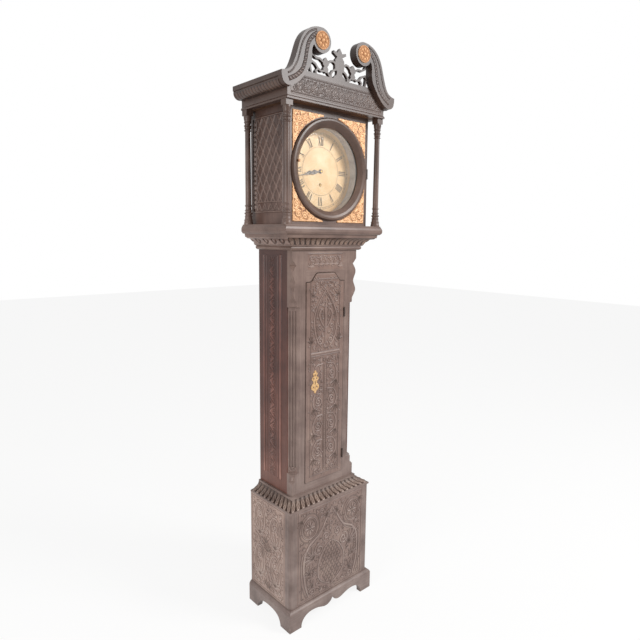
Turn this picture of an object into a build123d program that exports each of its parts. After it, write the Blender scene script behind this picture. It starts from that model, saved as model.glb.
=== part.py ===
from build123d import *
import math
import os

os.makedirs("parts", exist_ok=True)

# Frame: origin at the bottom centre, +Z up, the front faces -Y, +X is the viewer's right
# Depths are counted forwards from the flat back of the case

# Base of the case
skirt_inset = 10.5
skirt_inset_depth = 9.0
skirt_thickness = 22.0
skirt_height = 81.5
arch_half_width = 160.0
side_arch_centre = 135.0
base_half_width = 205.5
base_depth = 254.5
base_panel = 18.0
base_height = 467.0
corner_post_size = 30.0
corner_post_radius = 13.0
floor_thickness = 14.0
mitre_gap = 0.2

# Trunk
trunk_half_width = 158.5
trunk_depth = 203.5
trunk_board = 16.0
carcass_lap = 30.0
stile_thickness = 30.0
backboard_thickness = 12.0
cant_leg = 35.0
flute_radius = 3.0
flute_spacing = 10.0
door_half_width = 94.0
door_rise = 73.0
door_drop = 173.0
door_arch = 33.0
door_thickness = 20.0
door_proud = 2.0
door_side_gap = 3.0
door_end_gap = 2.0
rail_thickness = 22.0

# Hood
hood_foot_height = 33.0
hood_inner_half_width = 160.0
hood_inner_depth = 205.0
hood_half_width = 190.0
hood_panel = 16.0
hood_side_board = 14.0
hood_clearance = 1.5
frieze_half_width = 228.0
frieze_depth = 262.0
frieze_board = 18.0
frieze_front_height = 88.0
top_board_thickness = 12.0
cornice_rise = 33.0
cornice_height = 42.0
cornice_reach = 37.0
neck_thickness = 19.0
crest_board = 12.0
runner_thickness = 11.0
runner_height = 10.0
runner_lift = 15.0
column_x = 216.0
column_depth = 244.5
rear_column_depth = 18.0
column_square = 28.0
scroll_x = 98.0
scroll_rise = 196.0
scroll_radius = 39.0
rosette_radius = 29.0
rosette_height = 10.0

# Round glazed door of the hood, its catch, and the dial
dial_height = 1712.0
panel_below_spandrels = 11.0
panel_above_spandrels = 19.0
panel_hole_radius = 161.0
bezel_radius = 178.0
bezel_plug_radius = 158.0
glass_radius = 151.5
glass_thickness = 2.0
glass_depth = 210.0
spandrel_half_width = 174.0
spandrel_half_height = 184.0
spandrel_thickness = 2.0
spandrel_gap = 3.0
dial_radius = 154.0
dial_thickness = 2.0
dial_standoff = 14.0
collar_wall = 2.0
collar_depth = 30.0
catch_x = -154.0
catch_rise = 19.0
catch_shaft_radius = 2.0
catch_knob_radius = 5.0
tongue_half_width = 2.5
tongue_length = 20.0
tongue_thickness = 3.0
tongue_gap = 0.5

# Movement frame
plate_half_width = 60.0
plate_below_dial = 92.0
plate_above_dial = 94.0
plate_thickness = 3.0
plate_depth = 86.0
plate_spacing = 59.0
pillar_radius = 5.0
pillar_inset = 9.0
dial_foot_x = 52.0
dial_foot_inset = 11.0
dial_foot_radius = 3.0
seatboard_thickness = 18.0
seatboard_back = 50.0
seatboard_front = 150.0
cheek_front = 165.0
fit = 0.05
shake = 0.3
arbor_radius = 2.5
pivot_radius = 1.2
front_pivot_radius = 2.0

# Going train: numbers of teeth and modules
great_teeth = 96
centre_leaves = 8
great_module = 0.923
centre_teeth = 60
third_leaves = 8
centre_module = 0.85
third_teeth = 56
escape_leaves = 7
third_module = 0.80
escape_teeth = 30
escape_radius = 20.0
motion_teeth = 40
motion_module = 0.80
hour_teeth = 72
minute_leaves = 6
wheel_thickness = 2.0
escape_rise = 50.0
cannon_radius = 3.2
hour_pipe_radius = 4.6
minute_hand_length = 112.0
hour_hand_length = 78.0
minute_hand_angle = 258.0
hour_hand_angle = 261.5

# Barrel, gut line and weight
barrel_radius = 23.0
barrel_back = 101.0
barrel_length = 28.0
line_radius = 0.8
line_gap = 0.3
line_depth = 115.0
winding_arbor_radius = 4.0
winding_square = 5.0
square_proud = 0.8
pulley_height = 970.0
pulley_radius = 27.0
pulley_thickness = 8.0
weight_radius = 30.0
weight_length = 200.0
weight_top = 920.0

# Pendulum
pendulum_depth = 67.0
pendulum_length = 994.0
bob_radius = 55.0
bob_thickness = 26.0
rod_radius = 2.5
rod_below_bob = 74.3
nut_radius = 9.0

# Hinges, lock and key plate
hinge_pin_radius = 1.25
knuckle_radius = 3.0
knuckle_length = 12.0
knuckle_gap = 0.3
leaf_thickness = 1.3
hinge_drop = 121.0
hinge_rise = 75.0
key_x = -50.0
key_z = 934.0
key_plate_thickness = 1.6
lock_case_height = 52.0
lock_case_thickness = 9.0
bolt_length = 33.5
bolt_height = 16.0
bolt_thickness = 4.0
bolt_throw = 8.0
bolt_fit = 0.2

# Worked out from the dimensions above
overall_depth = frieze_depth + neck_thickness + rosette_height
skirt_inner_half_width = base_half_width - skirt_inset
skirt_inner_depth = base_depth - skirt_inset_depth
hood_bottom = dial_height - spandrel_half_height - panel_below_spandrels
hood_floor = hood_bottom - hood_foot_height
frieze_bottom = dial_height + spandrel_half_height + panel_above_spandrels
cornice_bottom = frieze_bottom + cornice_rise
cornice_top = cornice_bottom + cornice_height
scroll_z = frieze_bottom + scroll_rise
door_bottom = base_height + door_rise
door_shoulder = hood_floor - door_drop
door_top = door_shoulder + door_arch
hinge_heights = (door_shoulder - hinge_drop, door_bottom + hinge_rise)
plate_bottom = dial_height - plate_below_dial
plate_top = dial_height + plate_above_dial
back_y = overall_depth / 2
floor_top = skirt_height
trunk_foot = base_height - carcass_lap
trunk_inner = trunk_half_width - trunk_board
stile_back = trunk_depth - stile_thickness
rail_half_width = door_half_width + door_side_gap
door_face = trunk_depth + door_proud
door_back = door_face - door_thickness
hood_front = hood_inner_depth - 1.0 + hood_panel
hood_side_inner = hood_half_width - hood_side_board
hood_panel_back = hood_front - hood_panel
runner_bottom = hood_floor + runner_lift
frieze_inner_half_width = frieze_half_width - frieze_board
frieze_inner_depth = frieze_depth - frieze_board
frieze_front_top = frieze_bottom + frieze_front_height
neck_front = frieze_depth + neck_thickness
cornice_half_width = frieze_half_width + cornice_reach
bezel_axis_x = bezel_radius + knuckle_radius + 2 * knuckle_gap
bezel_axis_depth = hood_front + 8.5
door_axis_x = door_half_width + door_side_gap / 2
door_axis_depth = door_face + knuckle_radius + knuckle_gap
front_plate_depth = plate_depth + plate_thickness + plate_spacing
front_plate_face = front_plate_depth + plate_thickness
train_back = plate_depth + plate_thickness
dial_back = front_plate_face + dial_standoff
dial_face = dial_back + dial_thickness
seat_bottom = plate_bottom - seatboard_thickness
escape_z = dial_height + escape_rise
pallet_z = escape_z + escape_radius * math.sqrt(2.0)
bob_height = pallet_z - pendulum_length
rod_end = bob_height - rod_below_bob
barrel_z = dial_height - (great_teeth + centre_leaves) * great_module / 2
third_reach = (centre_teeth + third_leaves) * centre_module / 2
escape_reach = (third_teeth + escape_leaves) * third_module / 2
third_rise = (escape_rise + (third_reach ** 2 - escape_reach ** 2) / escape_rise) / 2
third_x = math.sqrt(third_reach ** 2 - third_rise ** 2)
third_z = dial_height + third_rise
minute_wheel_x = motion_teeth * motion_module
hour_module = 2 * minute_wheel_x / (hour_teeth + minute_leaves)
line_x = barrel_radius + line_gap + line_radius
groove_radius = line_x - line_gap - line_radius


def at(depth):
    """The Y of a plane that stands this far in front of the flat back."""
    return back_y - depth


def elevation(depth):
    """A drawing plane seen from the front: x is X, y is Z, and extruding comes forwards."""
    return Plane(origin=(0, at(depth), 0), x_dir=(1, 0, 0), z_dir=(0, -1, 0))


def block(x0, x1, d0, d1, z0, z1, mode=Mode.ADD):
    """A squared piece between two X, two depths and two heights."""
    with Locations(((x0 + x1) / 2, (at(d0) + at(d1)) / 2, (z0 + z1) / 2)):
        Box(abs(x1 - x0), abs(d1 - d0), abs(z1 - z0), mode=mode)


def rod(x, z, d0, d1, radius, mode=Mode.ADD):
    """A round bar that runs from back to front."""
    with Locations(Location((x, (at(d0) + at(d1)) / 2, z), (90, 0, 0))):
        Cylinder(radius, abs(d1 - d0), mode=mode)


def upright(x, depth, z0, z1, radius, mode=Mode.ADD):
    """A round bar that stands up."""
    with Locations((x, at(depth), (z0 + z1) / 2)):
        Cylinder(radius, z1 - z0, mode=mode)


def board(points, d0, d1, mode=Mode.ADD):
    """A board between two depths whose outline is drawn as (X, Z) corners."""
    with BuildSketch(elevation(d0)) as outline:
        Polygon(*points, align=None)
    extrude(outline.sketch, amount=d1 - d0, mode=mode)


def quarter(centre, radii, start, end, steps=8):
    """Points along an elliptical arc from one angle to another."""
    angles = [math.radians(start + (end - start) * step / steps) for step in range(steps + 1)]
    return [(centre[0] + radii[0] * math.cos(a), centre[1] + radii[1] * math.sin(a)) for a in angles]


def bar(start, end):
    """A straight length between two end outlines that have matching corners."""
    faces = [Face(Wire.make_polygon(start)), Face(Wire.make_polygon(end))]
    for corner in range(len(start)):
        side = [start[corner - 1], start[corner], end[corner], end[corner - 1]]
        faces.append(Face(Wire.make_polygon(side)))
    add(Solid(Shell(faces)))


def mitred_lengths(profile, half_width, depth, side_scale=1.0, side_profile=None):
    """Front, left and right lengths of a moulding that goes round the case.

    profile lists (reach, height) from the carcass outwards. The side lengths have the
    same heights, with every reach times side_scale, and a fine gap at each mitre. A
    side_profile of their own lets them be rebated on the inside.
    """
    left, right = [
        [(side * (half_width + reach * side_scale - mitre_gap), at(depth + reach), height)
         for reach, height in profile]
        for side in (-1, 1)
    ]
    bar(left, right)
    for side in (-1, 1):
        mitre = [(side * (half_width + reach * side_scale), at(depth + reach), height)
                 for reach, height in side_profile or profile]
        bar(mitre, [(x, back_y, height) for x, y, height in mitre])


def toothed(x, z, teeth, module, d0, d1, phase, shape):
    """A wheel or pinion with one tooth at the phase angle.

    shape gives the reach and the root in modules, then the width of a tooth at the
    pitch circle and at its tip, both as a share of the pitch.
    """
    reach, root, share, tip = shape
    radius = teeth * module / 2
    pitch = 2 * math.pi / teeth
    flank = (
        (radius - root * module, -0.62 * share),
        (radius, -share / 2),
        (radius + reach * module, -tip / 2),
        (radius + reach * module, tip / 2),
        (radius, share / 2),
        (radius - root * module, 0.62 * share),
    )
    points = [
        (x + r * math.cos(phase + (tooth + turn) * pitch), z + r * math.sin(phase + (tooth + turn) * pitch))
        for tooth in range(teeth) for r, turn in flank
    ]
    board(points, d0, d1)


def crossings(x, z, d0, d1, inner, outer, spokes, width, start=90.0):
    """Cut the openings between the spokes of a wheel."""
    with BuildSketch(elevation(d0 - 1)) as openings:
        with Locations((x, z)):
            Circle(outer)
            Circle(inner, mode=Mode.SUBTRACT)
        for spoke in range(spokes):
            turn = math.radians(start + spoke * 360 / spokes)
            middle = (x + math.cos(turn) * outer / 2, z + math.sin(turn) * outer / 2)
            with Locations(Location(middle, math.degrees(turn))):
                Rectangle(outer * 1.2, width, mode=Mode.SUBTRACT)
    extrude(openings.sketch, amount=d1 - d0 + 2, mode=Mode.SUBTRACT)


def hinge_zones(centre):
    """Heights of the two outer knuckles and of the middle one."""
    half = knuckle_length / 2
    outer = half + knuckle_gap
    return [(centre - outer - knuckle_length, centre - outer), (centre + outer, centre + outer + knuckle_length)], (
        centre - half, centre + half)


def save(builder, name):
    """Label a finished piece and write it as a STEP file."""
    builder.part.label = name
    export_step(builder.part, "parts/" + name + ".step")


wheel_shape = (0.75, 1.1, 0.44, 0.14)
pinion_shape = (0.35, 1.4, 0.36, 0.16)

# Case: back, floor and base

with BuildPart() as backboard:
    block(-base_half_width + base_panel, base_half_width - base_panel, 0, backboard_thickness,
          floor_top, trunk_foot)
    block(-trunk_inner, trunk_inner, 0, backboard_thickness, trunk_foot, frieze_bottom - 15)
    ear = hood_side_inner - hood_clearance
    block(-ear, ear, 0, backboard_thickness, hood_bottom + hood_clearance, frieze_bottom - 15)
save(backboard, "backboard")

with BuildPart() as base_floor:
    block(-skirt_inner_half_width, skirt_inner_half_width, 0, skirt_inner_depth,
          floor_top - floor_thickness, floor_top)
save(base_floor, "base_floor")

post_inner = base_half_width - corner_post_size
post_back = base_depth - corner_post_size

with BuildPart() as base_front_panel:
    block(-post_inner, post_inner, base_depth - base_panel, base_depth, floor_top, base_height)
save(base_front_panel, "base_front_panel")

with BuildPart() as base_side_panels:
    block(base_half_width - base_panel, base_half_width, 0, post_back, floor_top, base_height)
    mirror(about=Plane.YZ)
save(base_side_panels, "base_side_panels")

with BuildPart() as base_corner_posts:
    block(post_inner, base_half_width, post_back, base_depth, floor_top, base_height)
    outer_edge = base_corner_posts.edges().filter_by(Axis.Z).sort_by(lambda e: e.center().X - e.center().Y)[-1]
    fillet(outer_edge, radius=corner_post_radius)
    mirror(about=Plane.YZ)
save(base_corner_posts, "base_corner_posts")

with BuildPart() as plinth_skirt:
    lip = skirt_height - 13.5
    mitred_lengths(
        [(0, 0), (skirt_thickness, 0), (skirt_thickness, lip), (skirt_thickness - 2, lip + 6),
         (skirt_thickness - 6, lip + 11), (skirt_thickness - 10, skirt_height), (0, skirt_height)],
        skirt_inner_half_width, skirt_inner_depth)
    for side in (-1, 1):
        with BuildSketch(elevation(skirt_inner_depth - 1)) as apron:
            with BuildLine():
                Spline(*[(side * x, z) for x, z in (
                    (arch_half_width, 0), (156, 22), (142, 38), (122, 46), (95, 47),
                    (70, 42), (48, 34.5), (28, 33), (12, 40), (0, 56))])
                Polyline((0, 56), (0, -1), (side * arch_half_width, -1), (side * arch_half_width, 0))
            make_face()
        extrude(apron.sketch, amount=skirt_thickness + 2, mode=Mode.SUBTRACT)
    half_arch = ((75, 0), (71, 15), (59, 33), (33, 44), (0, 47))
    with BuildSketch(Plane(origin=(base_half_width + skirt_thickness, back_y, 0),
                           x_dir=(0, -1, 0), z_dir=(-1, 0, 0))) as side_arch:
        with BuildLine():
            Spline(*[(side_arch_centre + d, z) for d, z in half_arch],
                   *[(side_arch_centre - d, z) for d, z in reversed(half_arch[:-1])])
            Polyline((side_arch_centre - 75, 0), (side_arch_centre - 75, -1),
                     (side_arch_centre + 75, -1), (side_arch_centre + 75, 0))
        make_face()
    extrude(side_arch.sketch, amount=2 * (base_half_width + skirt_thickness), mode=Mode.SUBTRACT)
save(plinth_skirt, "plinth_skirt")

with BuildPart() as base_top_moulding:
    cove = quarter((50, base_height + 33), (41, 26), 270, 180)
    mitred_lengths(
        [(0, base_height), (52.5, base_height), (52.5, base_height + 5.5)] + cove
        + [(9, base_height + 39), (0, base_height + 39)],
        trunk_half_width, trunk_depth, 47 / 51)
save(base_top_moulding, "base_top_moulding")

# Case: trunk

with BuildPart() as trunk_sides:
    block(trunk_inner, trunk_half_width, 0, stile_back, trunk_foot, hood_floor)
    block(trunk_inner, trunk_half_width, seatboard_back, cheek_front, hood_floor, seat_bottom)
    mirror(about=Plane.YZ)
save(trunk_sides, "trunk_sides")

bolt_depth = door_back - lock_case_thickness / 2

with BuildPart() as trunk_stiles:
    block(rail_half_width, trunk_half_width, stile_back, trunk_depth, trunk_foot, hood_floor)
    diagonal = math.sqrt(0.5)
    with BuildSketch(Plane(origin=(trunk_half_width, at(trunk_depth), 0), x_dir=(diagonal, -diagonal, 0),
                           z_dir=(-diagonal, -diagonal, 0))) as cant:
        with BuildLine():
            foot, head = base_height + 86, hood_floor - 90
            lower = [(0, foot), (17, foot + 7), (17, foot + 35), (cant_leg, foot + 39), (cant_leg, head - 172),
                     (19, head - 168), (19, head - 154)]
            stop = [(19, head - 154), (10, head - 138), (2, head - 120), (8, head - 102), (14, head - 86),
                    (8, head - 68), (2, head - 48), (9, head - 31), (18, head - 20)]
            Polyline(*[(-leg * diagonal, z) for leg, z in lower])
            Spline(*[(-leg * diagonal, z) for leg, z in stop])
            Polyline((-18 * diagonal, head - 20), (0, head), (20, head), (20, foot), (0, foot))
        make_face()
    extrude(cant.sketch, amount=cant_leg, both=True, mode=Mode.SUBTRACT)
    for step in (-1, 0, 1):
        along = step * flute_spacing * diagonal
        upright(trunk_half_width - cant_leg / 2 + along, trunk_depth - cant_leg / 2 - along, foot + 51, head - 184,
                flute_radius, mode=Mode.SUBTRACT)
    mirror(about=Plane.YZ)
    pocket = bolt_height / 2 + 2
    block(-rail_half_width - bolt_throw - 3, -rail_half_width + 1, bolt_depth - 3.5, bolt_depth + 3.5,
          key_z - pocket, key_z + pocket, mode=Mode.SUBTRACT)
save(trunk_stiles, "trunk_stiles")


def door_outline(clear=0.0):
    """Corners of the door with its shaped head, enlarged by a clearance."""
    width = door_half_width + clear
    head = [(38 + 40 * (1 - step / 10) + clear,
             door_shoulder + (door_top - door_shoulder) * (1 - math.cos(math.pi * step / 10)) / 2 + clear)
            for step in range(11)]
    right = [(width, door_bottom - clear), (width, door_shoulder + clear)] + head
    return right + [(-x, z) for x, z in reversed(right)]


with BuildPart() as trunk_rails:
    block(-rail_half_width, rail_half_width, trunk_depth - rail_thickness, trunk_depth,
          door_shoulder + door_end_gap, hood_floor)
    board(door_outline(door_end_gap), trunk_depth - rail_thickness - 1, trunk_depth + 1, mode=Mode.SUBTRACT)
    block(-rail_half_width, rail_half_width, trunk_depth - rail_thickness, trunk_depth,
          trunk_foot, door_bottom - door_end_gap)
save(trunk_rails, "trunk_rails")

with BuildPart() as throat_moulding:
    foot = hood_floor - 57
    mitred_lengths(
        [(0, foot), (6, foot), (11, foot + 4), (12, foot + 9), (10, foot + 14), (15, foot + 16), (17, foot + 19)]
        + quarter((49, foot + 19), (32, 26), 180, 90)[1:] + [(51, hood_floor), (0, hood_floor)],
        trunk_half_width, trunk_depth, 61 / 49)
save(throat_moulding, "throat_moulding")

with BuildPart() as hood_runners:
    block(trunk_half_width, trunk_half_width + runner_thickness, seatboard_back + 2, cheek_front - 2,
          runner_bottom, runner_bottom + runner_height)
    mirror(about=Plane.YZ)
save(hood_runners, "hood_runners")

with BuildPart() as seatboard:
    block(-trunk_half_width, trunk_half_width, seatboard_back, seatboard_front, seat_bottom, plate_bottom)
    block(-line_x - 10, line_x - 8, 105, 142, seat_bottom - 1, plate_bottom + 1, mode=Mode.SUBTRACT)
    block(-25, 25, seatboard_back - 1, 78, seat_bottom - 1, plate_bottom + 1, mode=Mode.SUBTRACT)
save(seatboard, "seatboard")

# Movement frame

with BuildPart() as movement_back_plate:
    block(-plate_half_width, plate_half_width, plate_depth, train_back, plate_bottom, plate_top)
    for x, z, hole in ((0, dial_height, pivot_radius + fit), (third_x, third_z, pivot_radius + fit),
                       (0, escape_z, pivot_radius + fit), (0, barrel_z, arbor_radius + fit),
                       (0, pallet_z, winding_arbor_radius)):
        rod(x, z, plate_depth - 1, train_back + 1, hole, mode=Mode.SUBTRACT)
save(movement_back_plate, "movement_back_plate")

with BuildPart() as movement_front_plate:
    block(-plate_half_width, plate_half_width, front_plate_depth, front_plate_face, plate_bottom, plate_top)
    for x, z, hole in ((0, dial_height, front_pivot_radius + fit), (third_x, third_z, pivot_radius + fit),
                       (0, escape_z, pivot_radius + fit), (0, barrel_z, winding_arbor_radius - shake),
                       (0, pallet_z, pivot_radius + fit)):
        rod(x, z, front_plate_depth - 1, front_plate_face + 1, hole, mode=Mode.SUBTRACT)
    rod(minute_wheel_x, dial_height, front_plate_face, front_plate_face + 12, pivot_radius)
save(movement_front_plate, "movement_front_plate")

with BuildPart() as movement_pillars:
    for x in (-plate_half_width + pillar_inset, plate_half_width - pillar_inset):
        for z in (plate_bottom + pillar_inset, plate_top - pillar_inset):
            rod(x, z, train_back, front_plate_depth, pillar_radius)
save(movement_pillars, "movement_pillars")

cock_back = plate_depth - 10.0

with BuildPart() as back_cock:
    block(-26, 26, cock_back, cock_back + plate_thickness, pallet_z - 10, plate_top)
    block(-26, -20, cock_back + plate_thickness, plate_depth, pallet_z - 6, plate_top - 4)
    block(20, 26, cock_back + plate_thickness, plate_depth, pallet_z - 6, plate_top - 4)
    block(-8, 8, pendulum_depth - 7, cock_back, pallet_z + 3.3, pallet_z + 10)
    rod(0, pallet_z, cock_back - 1, cock_back + plate_thickness + 1, pivot_radius + fit, mode=Mode.SUBTRACT)
save(back_cock, "back_cock")

# Dial

with BuildPart() as dial_plate:
    rod(0, dial_height, dial_back, dial_face, dial_radius)
    rod(0, dial_height, dial_back - 1, dial_face + 1, hour_pipe_radius + 3 * shake, mode=Mode.SUBTRACT)
    rod(0, barrel_z, dial_back - 1, dial_face + 1, winding_square + 1, mode=Mode.SUBTRACT)
    for x in (-dial_foot_x, dial_foot_x):
        for z in (plate_bottom + dial_foot_inset, plate_top - dial_foot_inset):
            rod(x, z, front_plate_face, dial_back, dial_foot_radius)
save(dial_plate, "dial_plate")

with BuildPart() as dial_collar:
    rod(0, dial_height, dial_face, dial_face + collar_depth, dial_radius)
    rod(0, dial_height, dial_face - 1, dial_face + collar_depth + 1, dial_radius - collar_wall,
        mode=Mode.SUBTRACT)
save(dial_collar, "dial_collar")

# Hinges of the trunk door

with BuildPart() as door_hinge_posts:
    for centre in hinge_heights:
        outer, middle = hinge_zones(centre)
        block(rail_half_width - leaf_thickness, rail_half_width, door_back + 0.5, door_face - 0.1,
              outer[0][0], outer[1][1])
        for low, high in outer:
            block(door_axis_x, rail_half_width, door_face - 0.1, door_axis_depth, low, high)
            upright(door_axis_x, door_axis_depth, low, high, knuckle_radius)
        upright(door_axis_x, door_axis_depth, outer[0][0], outer[1][1], hinge_pin_radius)
save(door_hinge_posts, "door_hinge_posts")

with BuildPart() as door_hinge_leaves:
    for centre in hinge_heights:
        outer, (low, high) = hinge_zones(centre)
        block(door_half_width, door_half_width + leaf_thickness, door_back + 0.5, door_face - 0.1,
              outer[0][0], outer[1][1])
        block(door_half_width, door_axis_x, door_face - 0.1, door_axis_depth, low, high)
        upright(door_axis_x, door_axis_depth, low, high, knuckle_radius)
        upright(door_axis_x, door_axis_depth, low - 1, high + 1, hinge_pin_radius + fit, mode=Mode.SUBTRACT)
save(door_hinge_leaves, "door_hinge_leaves")

# Hood

with BuildPart() as hood_base_frame:
    top = hood_bottom
    foot_scale = 76 / 61
    foot = [(0, hood_floor), (54, hood_floor), (58, top - 30), (61, top - 24), (61, top - 15), (59, top - 8),
            (56, top - 3), (56, top)]
    rebate = (trunk_half_width + runner_thickness + 2 * hood_clearance - hood_inner_half_width) / foot_scale
    mitred_lengths(
        foot + [(0, top)], hood_inner_half_width, hood_inner_depth, foot_scale,
        foot + [(rebate, top), (rebate, runner_bottom - 1), (0, runner_bottom - 1)])
save(hood_base_frame, "hood_base_frame")

with BuildPart() as hood_sides:
    block(hood_side_inner, hood_half_width, 0, hood_panel_back, hood_bottom, frieze_bottom)
    mirror(about=Plane.YZ)
save(hood_sides, "hood_sides")

with BuildPart() as hood_front_panel:
    block(-hood_half_width, hood_half_width, hood_panel_back, hood_front, hood_bottom, frieze_bottom)
    rod(0, dial_height, hood_panel_back - 1, hood_front + 1, panel_hole_radius, mode=Mode.SUBTRACT)
save(hood_front_panel, "hood_front_panel")

with BuildPart() as hood_top_board:
    block(-frieze_inner_half_width, frieze_inner_half_width, 0, frieze_inner_depth,
          frieze_bottom, frieze_bottom + top_board_thickness)
save(hood_top_board, "hood_top_board")

with BuildPart() as hood_frieze:
    mitred_lengths(
        [(0, frieze_bottom), (frieze_board + 3.5, frieze_bottom), (frieze_board + 3.5, frieze_bottom + 6),
         (frieze_board, frieze_bottom + 10), (frieze_board, cornice_top), (0, cornice_top)],
        frieze_inner_half_width, frieze_inner_depth)
    block(-frieze_inner_half_width + 1, frieze_inner_half_width - 1, frieze_inner_depth, frieze_depth,
          cornice_top, frieze_front_top)
save(hood_frieze, "hood_frieze")

ovolo = quarter((cornice_bottom + 23, 10), (23, 25), 180, 90)

with BuildPart() as cornice_moulding:
    profile = [(0, cornice_bottom), (10, cornice_bottom)]
    profile += [(reach, height) for height, reach in ovolo[1:]]
    profile += [(34, cornice_bottom + 25.5), (cornice_reach, cornice_bottom + 27),
                (cornice_reach, cornice_top), (0, cornice_top)]
    for side in (-1, 1):
        outline = [(side * (frieze_half_width + reach), height) for reach, height in profile]
        bar([(x, back_y, z) for x, z in outline], [(x, at(frieze_depth), z) for x, z in outline])
save(cornice_moulding, "cornice_moulding")


def swan_neck(side, d0, d1, lowest):
    """One raking cornice with its scroll, kept above a given height."""
    with BuildSketch(elevation(d0)) as outline:
        with BuildLine():
            Spline(*[(side * x, z) for x, z in (
                (cornice_half_width, cornice_top), (246, cornice_top + 4), (230, cornice_top + 13),
                (214, cornice_top + 38), (203, cornice_top + 66), (193, cornice_top + 95),
                (179, cornice_top + 122), (158, cornice_top + 143), (130, cornice_top + 156),
                (scroll_x, scroll_z + scroll_radius))])
            ThreePointArc((side * scroll_x, scroll_z + scroll_radius),
                          (side * (scroll_x - scroll_radius), scroll_z),
                          (side * (scroll_x + scroll_radius * math.cos(math.radians(30))),
                           scroll_z - scroll_radius * 0.5))
            Spline(*[(side * x, z) for x, z in (
                (scroll_x + scroll_radius * math.cos(math.radians(30)), scroll_z - scroll_radius * 0.5),
                (140, cornice_top + 88), (141, cornice_top + 65), (149, cornice_top + 32),
                (162, cornice_top + 13), (195, cornice_top - 23),
                (frieze_half_width, cornice_bottom))])
            Polyline(*[(side * x, z) for x, z in (
                [(frieze_half_width, cornice_bottom), (frieze_half_width + 10, cornice_bottom)]
                + [(frieze_half_width + reach, height) for height, reach in ovolo[1:]]
                + [(cornice_half_width, cornice_bottom + 27), (cornice_half_width, cornice_top)])])
        make_face()
        with Locations((0, lowest - 200)):
            Rectangle(1000, 400, mode=Mode.SUBTRACT)
    extrude(outline.sketch, amount=d1 - d0)


with BuildPart() as swan_neck_left:
    swan_neck(-1, frieze_depth, neck_front, frieze_bottom)
    swan_neck(-1, frieze_depth - crest_board, frieze_depth, frieze_front_top)
save(swan_neck_left, "swan_neck_left")

with BuildPart() as swan_neck_right:
    swan_neck(1, frieze_depth, neck_front, frieze_bottom)
    swan_neck(1, frieze_depth - crest_board, frieze_depth, frieze_front_top)
save(swan_neck_right, "swan_neck_right")

with BuildPart() as rosettes:
    petals = 8
    for side in (-1, 1):
        rod(side * scroll_x, scroll_z, neck_front, neck_front + 4, rosette_radius - 5)
        for petal in range(petals):
            turn = 2 * math.pi * petal / petals
            rod(side * scroll_x + (rosette_radius - 8) * math.cos(turn),
                scroll_z + (rosette_radius - 8) * math.sin(turn), neck_front, neck_front + 6, 8)
        rod(side * scroll_x, scroll_z, neck_front, neck_front + rosette_height, 9)
save(rosettes, "rosettes")


def stem(points, width):
    """A curling stem of the pierced crest, drawn as straight strokes with round joints."""
    for (x0, z0), (x1, z1) in zip(points, points[1:]):
        length = math.hypot(x1 - x0, z1 - z0)
        nx = -(z1 - z0) / length * width / 2
        nz = (x1 - x0) / length * width / 2
        Polygon((x0 + nx, z0 + nz), (x1 + nx, z1 + nz), (x1 - nx, z1 - nz), (x0 - nx, z0 - nz), align=None)
    for point in points:
        with Locations(point):
            Circle(width / 2)


with BuildPart() as crest_fretwork:
    foot = frieze_front_top
    with BuildSketch(elevation(frieze_depth - crest_board)) as fret:
        Polygon((-152, foot), (152, foot), (150, foot + 8), (-150, foot + 8), align=None)
        tulip = [(28, foot), (28, foot + 12), (14, foot + 22), (12, foot + 32), (21, foot + 40), (21, foot + 70),
                 (12, foot + 80), (30, foot + 90), (28, foot + 98), (12, foot + 93), (0, foot + 109)]
        Polygon(*tulip, *[(-x, z) for x, z in reversed(tulip[:-1])], align=None)
        for side in (-1, 1):
            fleur = [(55, foot + 22), (52, foot + 30), (57, foot + 38), (50, foot + 46), (55, foot + 58),
                     (64, foot + 67), (73, foot + 58), (78, foot + 46), (71, foot + 38), (76, foot + 30),
                     (73, foot + 22), (64, foot + 17)]
            Polygon(*[(side * x, z) for x, z in fleur], align=None)
            for stroke in (
                [(18, foot + 55), (30, foot + 62), (42, foot + 60), (54, foot + 50)],
                [(74, foot + 50), (90, foot + 58), (108, foot + 58), (124, foot + 66), (130, foot + 78)],
                [(58, foot + 24), (48, foot + 14), (40, foot + 6)],
                [(18, foot + 38), (30, foot + 32), (40, foot + 20), (38, foot + 5)],
                [(70, foot + 24), (84, foot + 20), (98, foot + 26), (108, foot + 16), (104, foot + 5)],
                [(98, foot + 26), (110, foot + 38), (126, foot + 44), (133, foot + 36), (130, foot + 18),
                 (126, foot + 5)],
            ):
                stem([(side * x, z) for x, z in stroke], 6.5)
    extrude(amount=crest_board)
save(crest_fretwork, "crest_fretwork")

with BuildPart() as hood_columns:
    foot, head = hood_bottom, frieze_bottom
    square_bottom = head - 19
    with BuildSketch(Plane.XZ) as turning:
        with BuildLine():
            Polyline((0, foot), (17, foot), (17, foot + 5), (15, foot + 11), (12.5, foot + 23),
                     (10.5, foot + 39), (10, foot + 53), (9.2, head - 65), (11.5, head - 63), (11.5, head - 57),
                     (9.2, head - 55), (10, head - 49), (12, head - 35), (14, head - 25), (14, square_bottom),
                     (0, square_bottom), close=True)
        make_face()
    pillar = revolve(axis=Axis.Z, mode=Mode.PRIVATE)
    for x in (-column_x, column_x):
        for depth in (column_depth, rear_column_depth):
            with Locations((x, at(depth), 0)):
                add(pillar)
            half = column_square / 2
            block(x - half, x + half, depth - half, depth + half, square_bottom, frieze_bottom)
save(hood_columns, "hood_columns")

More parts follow.
